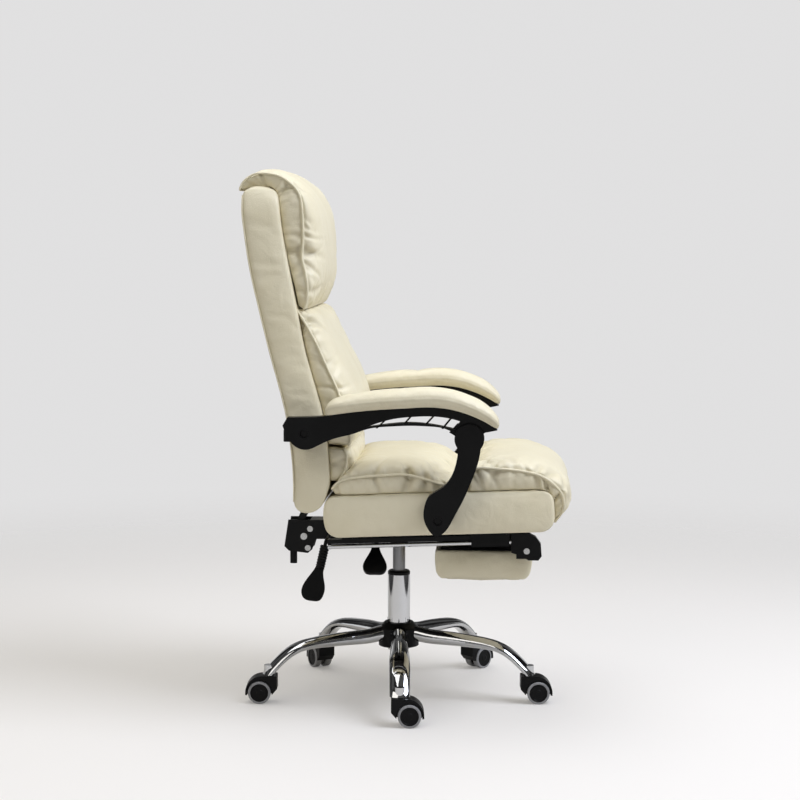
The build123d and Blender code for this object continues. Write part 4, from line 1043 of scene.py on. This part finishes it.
    def end_patches(self, draft: Draft, face: Patch, back: Patch) -> list[Patch]:
        """The patches from the face's end seams to the back.

        Args:
            draft: The cushion's draft.
            face: The face's patch.
            back: The back surface's patch.

        Returns:
            The first end's patch and the last one's.
        """
        patches, tau = [], draft.tau
        for i, last in ((0, False), (-1, True)):
            off, wrap = self.end_curve(draft, last)
            reach = wrap + (1 - wrap) * (1 - np.abs(draft.share) ** 10)
            side = (face.side[i][:, None] + (back.side[i] - face.side[i])[:, None]
                    * tau[None, :, None] + reach[:, None, None] * off[None])
            start = face.across[i][:, None]
            across = start + (back.across[i][:, None] - start) * tau[None]
            patches.append(Patch(side, across, along_end=start + OTHER_SIDE * last,
                                 away_end=tau[None] * draft.deep[i]))
        return patches

    def sew(self, patches: Sequence[Patch]) -> tuple[np.ndarray, np.ndarray, dict]:
        """Joins patches to one skin where their points meet.

        Args:
            patches: The patches. Where they meet, the first one's measures hold.

        Returns:
            Points in metres, quads, and the measures of the points.
        """
        loose = np.concatenate([self.view.to_chair(p.side, p.across + self.middle).reshape(-1, 3)
                                for p in patches])
        starts = np.cumsum([0] + [p.across.size for p in patches])
        faces = np.concatenate([grid_faces(*p.across.shape) + start
                                for p, start in zip(patches, starts)])
        cells = np.round((loose + JOIN_SHIFT) / JOIN).astype(np.int64)
        _, first, joined = np.unique(cells, axis=0, return_index=True, return_inverse=True)
        order = np.argsort(first)
        place = np.argsort(order)[joined.ravel()]
        measures = {key: np.concatenate([np.broadcast_to(getattr(p, key), p.across.shape).ravel()
                                         for p in patches]) for key in MEASURES}
        held = np.zeros(len(first))
        np.maximum.at(held, place, measures["held"])
        kept = first[order]
        return loose[kept], place[faces], {k: v[kept] for k, v in measures.items()} | {
            "held": held}

    def cord_line(self, face: Patch) -> np.ndarray:
        """The line that the piping follows: the face's edge, without its uncorded ends.

        Args:
            face: The face's patch.

        Returns:
            Points in metres; a whole ring doesn't repeat its first one.
        """
        edge = self.view.to_chair(face.side, face.across + self.middle)
        runs = (edge[:, -1], edge[-1, ::-1], edge[::-1, 0], edge[0])
        order = {(True, True): (0, 1, 2, 3), (True, False): (2, 3, 0),
                 (False, True): (0, 1, 2)}[self.corded_ends]
        line = np.concatenate([runs[i] for i in order])
        line = line[np.append(True, np.linalg.norm(np.diff(line, axis=0), axis=1) > JOIN)]
        return line[:-1] if all(self.corded_ends) else line

    def cut(self) -> None:
        """Cuts and sews the skin, ready to be stuffed."""
        draft = self.draft()
        face = self.face_patch(draft, self.start_share)
        back = self.back_patch(draft)
        patches = (face, *self.side_patches(draft), *self.end_patches(draft, face, back), back)
        self.piece = mesh_piece(self.name, *self.sew(patches))
        self.cord = self.cord_line(face)

    def stuff(self) -> None:
        """Hangs a cloth simulation on the skin: pressure inside, seams and back held."""
        held = measure_array(self.piece.data, "held")
        sewn = self.piece.vertex_groups.new(name="sewn")
        sewn.add(np.flatnonzero(held > 0.5).tolist(), 1.0, "REPLACE")
        cloth = self.piece.modifiers.new("stuffing", "CLOTH")
        for key, value in {
                "quality": 5, "mass": 0.2, "tension_stiffness": 12.0,
                "compression_stiffness": 12.0, "shear_stiffness": 4.0, "bending_stiffness": 0.4,
                "vertex_group_mass": "sewn", "pin_stiffness": 1.0, "shrink_min": -self.slack,
                "use_pressure": True, "uniform_pressure_force": self.pressure}.items():
            setattr(cloth.settings, key, value)
        cloth.settings.effector_weights.gravity = 0.0
        cloth.collision_settings.use_collision = False
        cloth.collision_settings.use_self_collision = False
        cloth.point_cache.frame_start, cloth.point_cache.frame_end = 1, STUFFING_FRAMES

    def settle(self) -> None:
        """Takes the stuffed shape over, with each point's travel and room limited."""
        rest = vertex_array(self.piece.data)
        shown = self.piece.evaluated_get(bpy.context.evaluated_depsgraph_get())
        stuffed = vertex_array(shown.to_mesh())
        shown.to_mesh_clear()
        self.piece.modifiers.clear()
        self.piece.vertex_groups.clear()
        step = stuffed - rest
        far = np.linalg.norm(step, axis=1, keepdims=True)
        limit, still = self.travel * MM, 1e-9
        step *= np.where(far > still, np.tanh(far / limit) * limit / np.maximum(far, still), 1.0)
        set_vertices(self.piece.data, self.in_room(rest + step))

    def in_room(self, points: np.ndarray, margin: float = 0.0) -> np.ndarray:
        """Holds points inside the cushion's room in its side view.

        Args:
            points: Points in metres, one row each.
            margin: How far they stay from the room's edges.

        Returns:
            The points, moved where they had to be.
        """
        side, across = self.view.to_side(points)
        lo, hi = np.array(self.room[:2]) + margin, np.array(self.room[2:]) - margin
        return self.view.to_chair(np.clip(side, lo, hi), across)

    def refine(self) -> None:
        """Divides every quad once, smoothly."""
        self.piece.modifiers.new("smooth", "SUBSURF").levels = 1
        graph = bpy.context.evaluated_depsgraph_get()
        fine = bpy.data.meshes.new_from_object(self.piece.evaluated_get(graph),
                                               preserve_all_data_layers=True, depsgraph=graph)
        self.piece.modifiers.clear()
        coarse, self.piece.data = self.piece.data, fine
        bpy.data.meshes.remove(coarse)
        fine.name = self.name

    def crease(self) -> None:
        """Presses puckers, seam grooves and long folds in, and shades what lies deep."""
        mesh, folds = self.piece.data, self.folds
        rng = np.random.default_rng(self.seed)
        got = {key: measure_array(mesh, key) for key in MEASURES}
        depth = np.zeros(len(mesh.vertices))
        for along, away, tucks in (("along", "away", folds.tucks), ("along_end", "away_end", ())):
            near = np.flatnonzero(got[away] < 4 * folds.length)
            a, r = got[along][near], got[away][near]
            depth[near] -= folds.puckers(a, r, rng, tucks)
            depth[near] -= folds.groove * np.exp(
                -((r - folds.groove_place) / folds.groove_width) ** 2)
        on = got["on_face"] > 0.5
        depth[on] -= folds.long_folds(got["p"][on], got["q"][on], rng)
        moved = vertex_array(mesh) + normal_array(mesh) * (depth * MM)[:, None]
        set_vertices(mesh, self.in_room(moved))
        for key in MEASURES:
            mesh.attributes.remove(mesh.attributes[key])
        # painted shade, with some dust beside the seams: the hide is marked darker near its seams
        # and where folds press deep
        beside = np.exp(-np.minimum(got["away"], got["away_end"]) / folds.shade_reach)
        sunk = ease((-depth - folds.shade_from) / (folds.shade_full - folds.shade_from))
        set_measure(mesh, "seam", np.maximum(beside, sunk))

    def pipe(self) -> bpy.types.Object:
        """Sews the piping round the face: a thin cord along the face's edge.

        Returns:
            The piping as a piece of its own.
        """
        rng = np.random.default_rng(self.seed + PIPING_SEED)
        path, ring = self.cord, all(self.corded_ends)
        for step in range(4):
            if step == 2:      # twice as many points
                closed = np.vstack([path, path[:1]]) if ring else path
                fine = np.arange(0, len(closed) - 1, 0.5)
                path = np.stack([np.interp(fine, np.arange(len(closed)), closed[:, i])
                                 for i in range(3)], 1)
            smooth = soften(path)
            if not ring:
                smooth[[0, -1]] = path[[0, -1]]
            path = smooth
        outward = unit(path - vertex_array(self.piece.data).mean(0))
        wave = rng.normal(0, 1, len(path))
        for _ in range(6):
            wave = soften(wave)
        lift = (0.35 * self.piping + 0.5 * wave) * MM      # it stands off the seam and wanders
        radius = np.full(len(path), self.piping * MM) * (1 + 0.05 * wave)
        return tube(self.name + "_piping",
                    self.in_room(path + outward * lift[:, None], self.piping), outward, radius,
                    sides=8, closed=ring)

    def finish(self, palette: Palette) -> None:
        """Refines, creases and dresses the cushion, and puts it on its body.

        Args:
            palette: The chair's finishes.
        """
        self.refine()
        self.crease()
        pieces = [self.piece] + ([self.pipe()] if self.piping else [])
        for piece in pieces:
            piece.data.materials.clear()
            piece.data.materials.append(palette.materials["cream_leather"])
            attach(piece, self.body)
        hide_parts(self.node)
        LOG.info("%s: %d faces on %s", self.name, len(self.piece.data.polygons), self.body)


@dataclass
class Upholstery:
    """All the padded pieces of the chair."""

    soft: Folds = Folds()
    plain: Folds = Folds(spacing=42.0, depth=0.8, length=22.0, width=8.0, corner_folds=1,
                         side_folds=2, fold_depth=0.8, fold_length=70.0, fold_width=12.0)
    tight: Folds = Folds(spacing=60.0, depth=0.3, length=14.0, width=8.0, corner_folds=0,
                         side_folds=0)

    def back(self) -> list[Cushion]:
        """The back's padded strip and the three pillows sewn in front of it.

        Returns:
            The cushions, not yet cut.
        """
        pillow = dict(inset=9.0, roundness=4.5, fullness=2.4, waves=1.6, travel=6.0,
                      pressure=2.2, slack=0.03, start_share=0.94, cell=6.0)
        strip = Cushion(
            "back_strip", "back_base_cushion", "back",
            ((-323, 1112, -320, 1112, -245, 1112, 229), (-323, 1098, -320, 1098, -243, 1098, 236),
             (-323, 1080, -320, 1080, -241, 1080, 240), (-319, 1046, -316, 1046, -237, 1046, 241),
             (-307, 963, -304, 963, -222, 963, 241), (-285, 866, -282, 866, -202.5, 866, 241),
             (-264, 781, -261, 781, -186, 781, 241), (-244, 708, -241, 708, -165, 708, 241),
             (-231, 656, -228, 656, -151, 656, 241), (-222, 599, -219, 599, -141.5, 599, 241),
             (-216, 546, -213, 546, -136.5, 546, 241), (-214, 506, -211, 506, -135, 506, 241),
             (-214, 465, -211, 465, -143, 474, 241)),
            inset=1.0, roundness=6.0, swell=4.0, band_power=5.0, cell=8.0,
            first_end=((-320, 1112), (-318, 1123), (-309, 1129), (-262, 1129), (-250, 1124),
                       (-245, 1112)), first_wrap=0.85,
            last_end=((-211, 465), (-206, 450), (-188, 441), (-168, 444), (-153, 455),
                      (-143, 474)), last_wrap=1.0,
            pressure=1.5, slack=0.01, travel=2.5, folds=self.plain, piping=1.6, fill=0.8, seed=11)
        head = Cushion(
            "head_pillow", "head_cushion", "back",
            ((-327, 1125, -328, 1124, -318, 1127, 214), (-321, 1150, -322, 1140, -302, 1130.5, 214),
             (-294, 1167, -303, 1155, -284, 1130.5, 215),
             (-267, 1169, -285, 1160, -272, 1130.5, 217), (-245, 1163, -262, 1158, -262, 1130, 221),
             (-224, 1153, -240, 1153, -255, 1126, 225), (-206, 1140, -222, 1141, -250, 1120, 229),
             (-188, 1121, -207, 1127, -246, 1110, 232), (-174, 1097, -198, 1110, -244.5, 1098, 234),
             (-164, 1070, -195, 1088, -242, 1080, 235), (-159, 1038, -193, 1058, -238.5, 1054, 235),
             (-157, 1004, -191.5, 1019, -233, 1017, 235), (-156, 974, -194, 984, -226, 982, 234),
             (-157, 945, -186, 952, -218, 950, 235), (-162, 917, -182, 920, -210, 920, 235),
             (-170, 893, -183, 896, -206, 898, 233), (-184, 873, -191, 873, -203, 880, 227)),
            **pillow, room=(-330, 868, -146, 1175), seed=21, corded_ends=(True, False),
            folds=replace(
                self.soft, tucks=((0.33, 8.0, 6.0, 0.5), (0.37, 6.0, 5.0, -0.3),
                                  (0.70, 10.0, 6.5, 0.1), (0.735, 7.0, 5.0, -0.4),
                                  (0.76, 5.0, 5.0, 0.5))))
        wings = Cushion(
            "wing_pillow", "back_cushion", "back",
            ((-195, 874, -208, 877, -204, 864, 226), (-185, 878, -199, 862, -201, 852, 232),
             (-171, 868, -188, 845, -198, 838, 235), (-158, 847, -176, 824, -194.5, 820, 236),
             (-145, 817, -164, 803, -190, 801, 236), (-130, 787, -155, 784, -186, 782, 235),
             (-115, 758, -143, 758, -180, 758, 235), (-102, 732, -131, 732, -172.5, 733, 236),
             (-92, 707, -120, 706, -165, 708, 236), (-80, 672, -110, 675, -155, 674, 236),
             (-73, 640, -101, 645, -148, 645, 236), (-73, 612, -94, 615, -143, 613, 235),
             (-80, 593, -91, 595, -140.5, 596, 232), (-94, 584, -97, 585, -139.5, 587, 226)),
            **pillow, room=(-215, 581.5, -66, 889), seed=31, corded_ends=(False, True),
            folds=replace(
                self.soft, tucks=((0.04, 8.0, 6.0, 0.9), (0.09, 6.5, 5.0, 0.6),
                                  (0.14, 5.0, 5.0, 0.4), (0.42, 5.0, 6.0, -0.2),
                                  (0.90, 7.0, 6.0, -0.6))))
        lower = Cushion(
            "lumbar_pillow", "lower_back_cushion", "back",
            ((-104, 580, -107, 580, -139.5, 581, 228), (-92, 572, -101, 573, -139, 573, 233),
             (-88, 558, -98, 561, -137, 560, 235), (-88, 543, -99, 546, -136, 546, 235),
             (-92, 528, -103, 531, -136, 530, 235), (-101, 516, -109, 519, -137, 517, 232),
             (-116, 508, -119, 509, -137, 509, 226)),
            inset=6.0, roundness=4.0, fullness=2.2, waves=1.2, travel=5.0, pressure=2.0, slack=0.03,
            room=(-165, 504, -82, 581.2), folds=self.soft, seed=41, cell=6.0)
        return [strip, head, wings, lower]

    def seat(self) -> list[Cushion]:
        """The seat's padded box and the two pillows on it.

        Returns:
            The cushions, not yet cut.
        """
        pillow = dict(view=SEAT, inset=4.0, roundness=5.0, fullness=2.4, swell=4.0, travel=6.0,
                      pressure=2.2, slack=0.035, start_share=0.95, cell=6.0)
        full = replace(self.soft, length=36.0, width=5.8, side_folds=10)
        box = Cushion(
            "seat_box", "seat_base_cushion", "seat",
            ((-115, 90, -115, 89, -115, 0, 249), (100, 90, 100, 89, 100, 0, 249),
             (314, 90, 314, 89, 314, 0, 249)),
            view=SEAT, inset=0.0, roundness=6.0, swell=6.0, band_power=7.0, cell=8.0,
            first_end=((-115, 89), (-129, 86), (-140, 76), (-144, 61), (-144, 29), (-140, 14),
                       (-129, 3.5), (-115, 0)), first_wrap=1.0,
            last_end=((314, 89), (328, 86), (339, 76), (343, 61), (343, 29), (339, 14),
                      (328, 3.5), (314, 0)), last_wrap=1.0,
            hollow=(-119.0, 316.0, 233.5, 12.4), pressure=1.5, slack=0.01, travel=3.0,
            folds=self.plain, piping=0.0, fill=0.9, seed=51, room=(-147, -2, 343.5, 90.2))
        rear = Cushion(
            "seat_rear_pillow", "seat_rear_cushion", "seat",
            ((-125, 102, -126, 103, -119, 91, 236), (-119, 121, -117, 112, -110, 91, 244),
             (-104, 140, -100, 120, -98, 91, 248), (-82, 152, -78, 125, -76, 91, 250),
             (-47, 157, -45, 128, -44, 91, 249), (-8, 157.5, -6, 130, -5, 91, 247),
             (28, 156.5, 30, 129, 30, 91, 246), (60, 154.5, 62, 122, 65, 91, 247),
             (88, 149.5, 92, 113, 95, 91, 249), (114, 138, 118, 106, 120, 91, 250),
             (134, 123, 136, 102, 136, 91, 247), (148, 107, 147, 99, 146, 91, 238)),
            **pillow, waves=3.0, room=(-130, 90.6, 154, 166), seed=61,
            folds=replace(full, spacing=20.0, depth=12.5, fold_depth=5.5,
                          tucks=((0.86, 8.0, 6.0, -0.5), (0.93, 8.0, 6.0, -0.7))))
        front = Cushion(
            "seat_front_pillow", "seat_front_cushion", "seat",
            ((158, 106, 160, 105, 161, 91, 238), (163, 128, 166, 124, 168, 91, 246),
             (176, 143, 179, 140, 181, 91, 249), (203, 151, 203, 141, 203, 91, 250),
             (235, 154, 235, 136, 235, 91, 248), (265, 154, 262, 131, 262, 91, 247),
             (291, 151, 288, 125, 288, 91, 248), (313, 144, 311, 119, 310, 90.8, 249),
             (334, 135, 329, 110, 326, 87, 247), (353, 123, 344, 98, 336.5, 79, 243),
             (370, 107, 356, 85, 342, 69, 237), (381, 86, 363, 70, 344.2, 55, 232),
             (384, 65, 365, 54, 344.2, 42, 229), (379, 46, 361, 40, 342.5, 31, 226),
             (367, 28, 352, 28, 339, 21.5, 222), (348, 15, 343, 17, 335, 15.5, 214)),
            **pillow, waves=1.8, room=(155, 6, 393, 166), seed=71,
            folds=replace(full, spacing=21.0, depth=12.0, fold_depth=5.2,
                          tucks=((0.07, 9.0, 6.0, 0.6), (0.13, 8.0, 5.5, 0.3),
                                 (0.52, 8.0, 7.0, 0.2), (0.57, 7.0, 6.0, 0.5))))
        return [box, rear, front]

    def rests(self) -> list[Cushion]:
        """The two armrest pads and the footrest's pad.

        Returns:
            The cushions, not yet cut.
        """
        pads = [Cushion(
            f"arm_pad_cover_{side}", f"arm_pad_{side}", f"arm_{side}",
            ((-139, 671, -139.5, 664, -138, 656, 16), (-134, 679.5, -136, 668, -135, 656, 24),
             (-124, 688, -127, 673, -127, 657.3, 30.5), (-108, 694, -110, 677, -110, 660, 35),
             (-85, 699, -85, 681, -85, 663.5, 36.5), (-36, 707, -36, 686.5, -36, 668.8, 37),
             (25, 712, 25, 691, 25, 672.8, 37), (84, 715, 84, 694, 84, 675.6, 37),
             (130, 709, 130, 689, 128, 670.5, 37), (160, 699, 160, 679, 157, 662.3, 37),
             (183, 689, 183, 669, 179, 653.4, 36), (201, 677, 200, 659, 196, 645, 34),
             (214, 664, 213, 649, 208, 637.5, 30), (222, 652, 220, 642, 215, 633.4, 24),
             (225, 641, 223, 636.5, 219.5, 630.8, 16)),
            middle=middle, inset=10.0, roundness=2.3, cell=5.0, swell=3.0, travel=3.0,
            pressure=2.0, slack=0.01, start_share=0.97, folds=self.tight, piping=0.0, fill=0.9,
            seed=81) for side, middle in (("left", 288.0), ("right", -288.0))]
        foot = Cushion(
            "footrest_pad_cover", "footrest_cushion", "footrest_pad",
            ((108, 291, 108, 293, 89, 355.5, 178), (190, 290, 190, 293, 190, 355.5, 178),
             (274, 291, 274, 293, 294, 355.5, 178)),
            inset=0.0, roundness=5.0, swell=5.0, band_power=5.0,
            first_end=((108, 293), (97, 297), (90.5, 306), (88, 320), (87, 340), (89, 355.5)),
            first_wrap=1.0,
            last_end=((274, 293), (285, 297), (291.5, 306), (294, 320), (296, 340),
                      (294, 355.5)), last_wrap=1.0,
            hollow=(99.0, 284.0, 170.5, 346.6), travel=5.0, pressure=2.0, slack=0.015,
            folds=self.plain, piping=0.0, fill=0.85, seed=91, room=(84, 284, 299, 355.8))
        return [*pads, foot]

    def build(self, palette: Palette) -> None:
        """Cuts every cushion, stuffs them all in one run of the cloth, and finishes them.

        Args:
            palette: The chair's finishes.
        """
        cushions = [*self.back(), *self.seat(), *self.rests()]
        for cushion in cushions:
            cushion.cut()
        for cushion in cushions:
            cushion.stuff()
        for frame in range(1, STUFFING_FRAMES + 1):
            bpy.context.scene.frame_set(frame)
        for cushion in cushions:
            cushion.settle()
        bpy.context.scene.frame_set(1)
        for cushion in cushions:
            cushion.finish(palette)


# ------------------------------------------------------------------ studio


@dataclass(frozen=True)
class Softbox:
    """An area light: where it stands, what it points at, its size and its power."""

    name: str
    place: tuple[float, float, float]      # metres, as the target and the size are
    target: tuple[float, float, float]
    width: float
    height: float
    power: float                           # watts
    colour: tuple[float, float, float] = (1.0, 1.0, 1.0)

    def hang(self) -> None:
        """Adds the light to the scene."""
        lamp = bpy.data.lights.new(self.name, "AREA")
        lamp.shape, lamp.size, lamp.size_y = "RECTANGLE", self.width, self.height
        lamp.energy, lamp.color = self.power, self.colour
        hung = bpy.data.objects.new(self.name, lamp)
        hung.location = self.place
        aim = Vector(self.target) - Vector(self.place)
        hung.rotation_euler = aim.to_track_quat("-Z", "Y").to_euler()
        bpy.context.scene.collection.objects.link(hung)


@dataclass(frozen=True)
class Studio:
    """The photograph's camera, a pale floor and soft light, in metres and radians."""

    focal_pixels: float = 1935.8
    frame_pixels: float = 800.0
    sensor: float = 36.0                # millimetres
    distance: float = 4.306
    camera_height: float = 1.039
    camera_shift: float = 0.0007
    clip_end: float = 200.0
    yaw: float = math.radians(3.2)
    pitch: float = 0.0870
    roll: float = 0.0038
    backdrop: tuple[float, float, float] = (0.752, 0.748, 0.751)
    floor_colour: tuple[float, float, float] = (0.675, 0.65, 0.615)
    glow_colour: tuple[float, float, float] = (0.80, 0.785, 0.77)
    floor_glow: float = 0.22            # towards the camera only
    floor_radii: tuple[float, ...] = (0.0, 0.6, 1.5, 3.0, 6.0, 12.0, 30.0)
    floor_sides: int = 96
    floor_fade: tuple[float, float] = (1.1, 3.6)      # radii
    paper_edge: tuple[float, float] = (1.15, 1.27)    # from the middle, as metal mirrors it
    paper_front: tuple[float, float] = (-1.9, -2.3)
    gloom: tuple[float, float, float] = (0.035, 0.035, 0.036)    # off the paper
    room_power: float = 0.9

    def camera(self) -> None:
        """Sets the camera where the photograph was taken from."""
        c, s = math.cos(self.yaw), math.sin(self.yaw)
        right = Vector((c, s, 0.0))
        ahead = Vector((-s * math.cos(self.pitch), c * math.cos(self.pitch),
                        -math.sin(self.pitch)))
        up = right.cross(ahead)
        tilted = right * math.cos(self.roll) + up * math.sin(self.roll)
        upright = up * math.cos(self.roll) - right * math.sin(self.roll)
        lens = bpy.data.cameras.new("camera")
        lens.sensor_width = self.sensor
        lens.lens = self.focal_pixels / self.frame_pixels * self.sensor
        lens.clip_end = self.clip_end
        seen = bpy.data.objects.new("camera", lens)
        turn = Matrix((tilted, upright, -ahead)).transposed()
        place = right * self.camera_shift - Vector((-s, c, 0.0)) * self.distance
        place.z = self.camera_height
        seen.matrix_world = Matrix.Translation(place) @ turn.to_4x4()
        bpy.context.scene.collection.objects.link(seen)
        bpy.context.scene.camera = seen

    def floor(self) -> None:
        """Lays a pale round floor that fades into the backdrop far from the chair."""
        angle = np.linspace(0, 2 * np.pi, self.floor_sides, endpoint=False)
        radii = np.array(self.floor_radii)[:, None]
        points = np.stack([radii * np.cos(angle), radii * np.sin(angle), radii * 0 * angle], -1)
        faces = grid_faces(len(radii), len(angle), wrap_columns=True)
        laid = mesh_piece("floor", points.reshape(-1, 3), faces)
        laid.data.materials.append(self.paper())

    def paper(self) -> bpy.types.Material:
        """The floor's finish: pale paper to the eye, with dark studio beside it in mirrors.

        Returns:
            The material, which turns clear far from the chair.
        """
        paint = bpy.data.materials.new("studio_floor")
        paint.use_nodes = True
        tree = NodeTree(paint.node_tree)
        where, rays = tree.position(), tree.node("LightPath").outputs
        shader = tree.node("BsdfPrincipled", {
            "Base Color": (*self.floor_colour, 1.0), "Roughness": 0.55,
            "Specular IOR Level": 0.25, "Emission Color": (*self.glow_colour, 1.0),
            "Emission Strength": tree.math("MULTIPLY", rays["Is Camera Ray"],
                                           self.floor_glow)})
        x, y, _ = tree.node("SeparateXYZ", {0: where}).outputs
        beside = tree.ramp(tree.math("ABSOLUTE", x), *self.paper_edge)
        before = tree.ramp(y, *self.paper_front)
        dark = tree.node("Emission", {"Color": (*self.gloom, 1.0)})
        mirrored = tree.math("MULTIPLY", tree.math("MAXIMUM", beside, before),
                             rays["Is Glossy Ray"])
        paper = tree.node("MixShader", {0: mirrored, 1: shader.outputs[0], 2: dark.outputs[0]})
        far = tree.node("VectorMath", {0: where}, operation="LENGTH").outputs["Value"]
        clear = tree.node("BsdfTransparent")
        mixed = tree.node("MixShader", {0: tree.ramp(far, *self.floor_fade),
                                        1: paper.outputs[0], 2: clear.outputs[0]})
        tree.node("OutputMaterial", {"Surface": mixed.outputs[0]})
        return paint

    def surround(self) -> None:
        """Lights the room: a plain backdrop to the eye, a shaded studio to the metal."""
        world = bpy.data.worlds.new("studio")
        bpy.context.scene.world = world
        world.use_nodes = True
        tree = NodeTree(world.node_tree)
        way, rays = tree.node("TexCoord").outputs["Generated"], tree.node("LightPath").outputs
        _, y, z = tree.node("SeparateXYZ", {0: way}).outputs
        glow = tree.math("MULTIPLY", tree.ramp(y, -0.95, 0.25, 0.09, 0.82),
                         tree.ramp(z, 0.15, 0.75, 1.0, 0.55))
        upright = tree.node("Mapping", {"Vector": way, "Scale": (1.0, 1.0, 0.15)}).outputs[0]
        panels = tree.node("TexNoise", {"Vector": upright, "Scale": 4.2, "Detail": 2.0}).outputs[0]
        bright = tree.math("MULTIPLY", tree.ramp(panels, 0.44, 0.56, 0.10, 1.0),
                           tree.ramp(z, 0.0, 0.45, 1.0, 0.10))
        grey = [tree.node("CombineColor", {0: v, 1: v, 2: v}).outputs[0] for v in (glow, bright)]
        room, mirrored = [tree.node("Background", {0: tone, 1: self.room_power}).outputs[0]
                          for tone in grey]
        seen = tree.node("Background", {0: (*self.backdrop, 1.0), 1: 1.0}).outputs[0]
        both = tree.node("MixShader", {0: rays["Is Glossy Ray"], 1: room, 2: mirrored})
        mixed = tree.node("MixShader", {0: rays["Is Camera Ray"], 1: both.outputs[0], 2: seen})
        tree.node("OutputWorld", {"Surface": mixed.outputs[0]})

    def lights(self) -> None:
        """Hangs the softboxes: one above and in front of the chair, and two weaker fills."""
        for box in (
            Softbox("key", (2.4, -1.0, 3.6), (0.0, 0.0, 0.6), 2.6, 2.2, 136.0,
                    (0.93, 0.98, 1.12)),
            Softbox("overhead", (-0.6, 0.5, 3.4), (0.0, 0.0, 0.5), 2.6, 2.6, 40.0),
            Softbox("camera_fill", (-2.1, -2.9, 2.9), (-0.30, 0.0, 1.05), 3.2, 2.6, 38.0,
                    (1.0, 0.97, 0.92)),
        ):
            box.hang()

    def build(self) -> None:
        """Sets up the camera, the floor, the surroundings and the lights."""
        self.camera()
        self.floor()
        self.surround()
        self.lights()
        view = bpy.context.scene.view_settings
        view.view_transform, view.look = "Standard", "None"


# ------------------------------------------------------------------ scene


def main() -> None:
    """Builds the dressed chair in order."""
    logging.basicConfig(level=logging.INFO, format="%(name)s: %(message)s")
    for thing in list(bpy.data.objects):
        bpy.data.objects.remove(thing)
    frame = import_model()
    palette = Palette()
    palette.dress_frame(frame["nodes"])
    LOG.info("frame: %d nodes dressed", len(frame["nodes"]))
    Upholstery().build(palette)
    Studio().build()


if __name__ == "__main__":
    main()
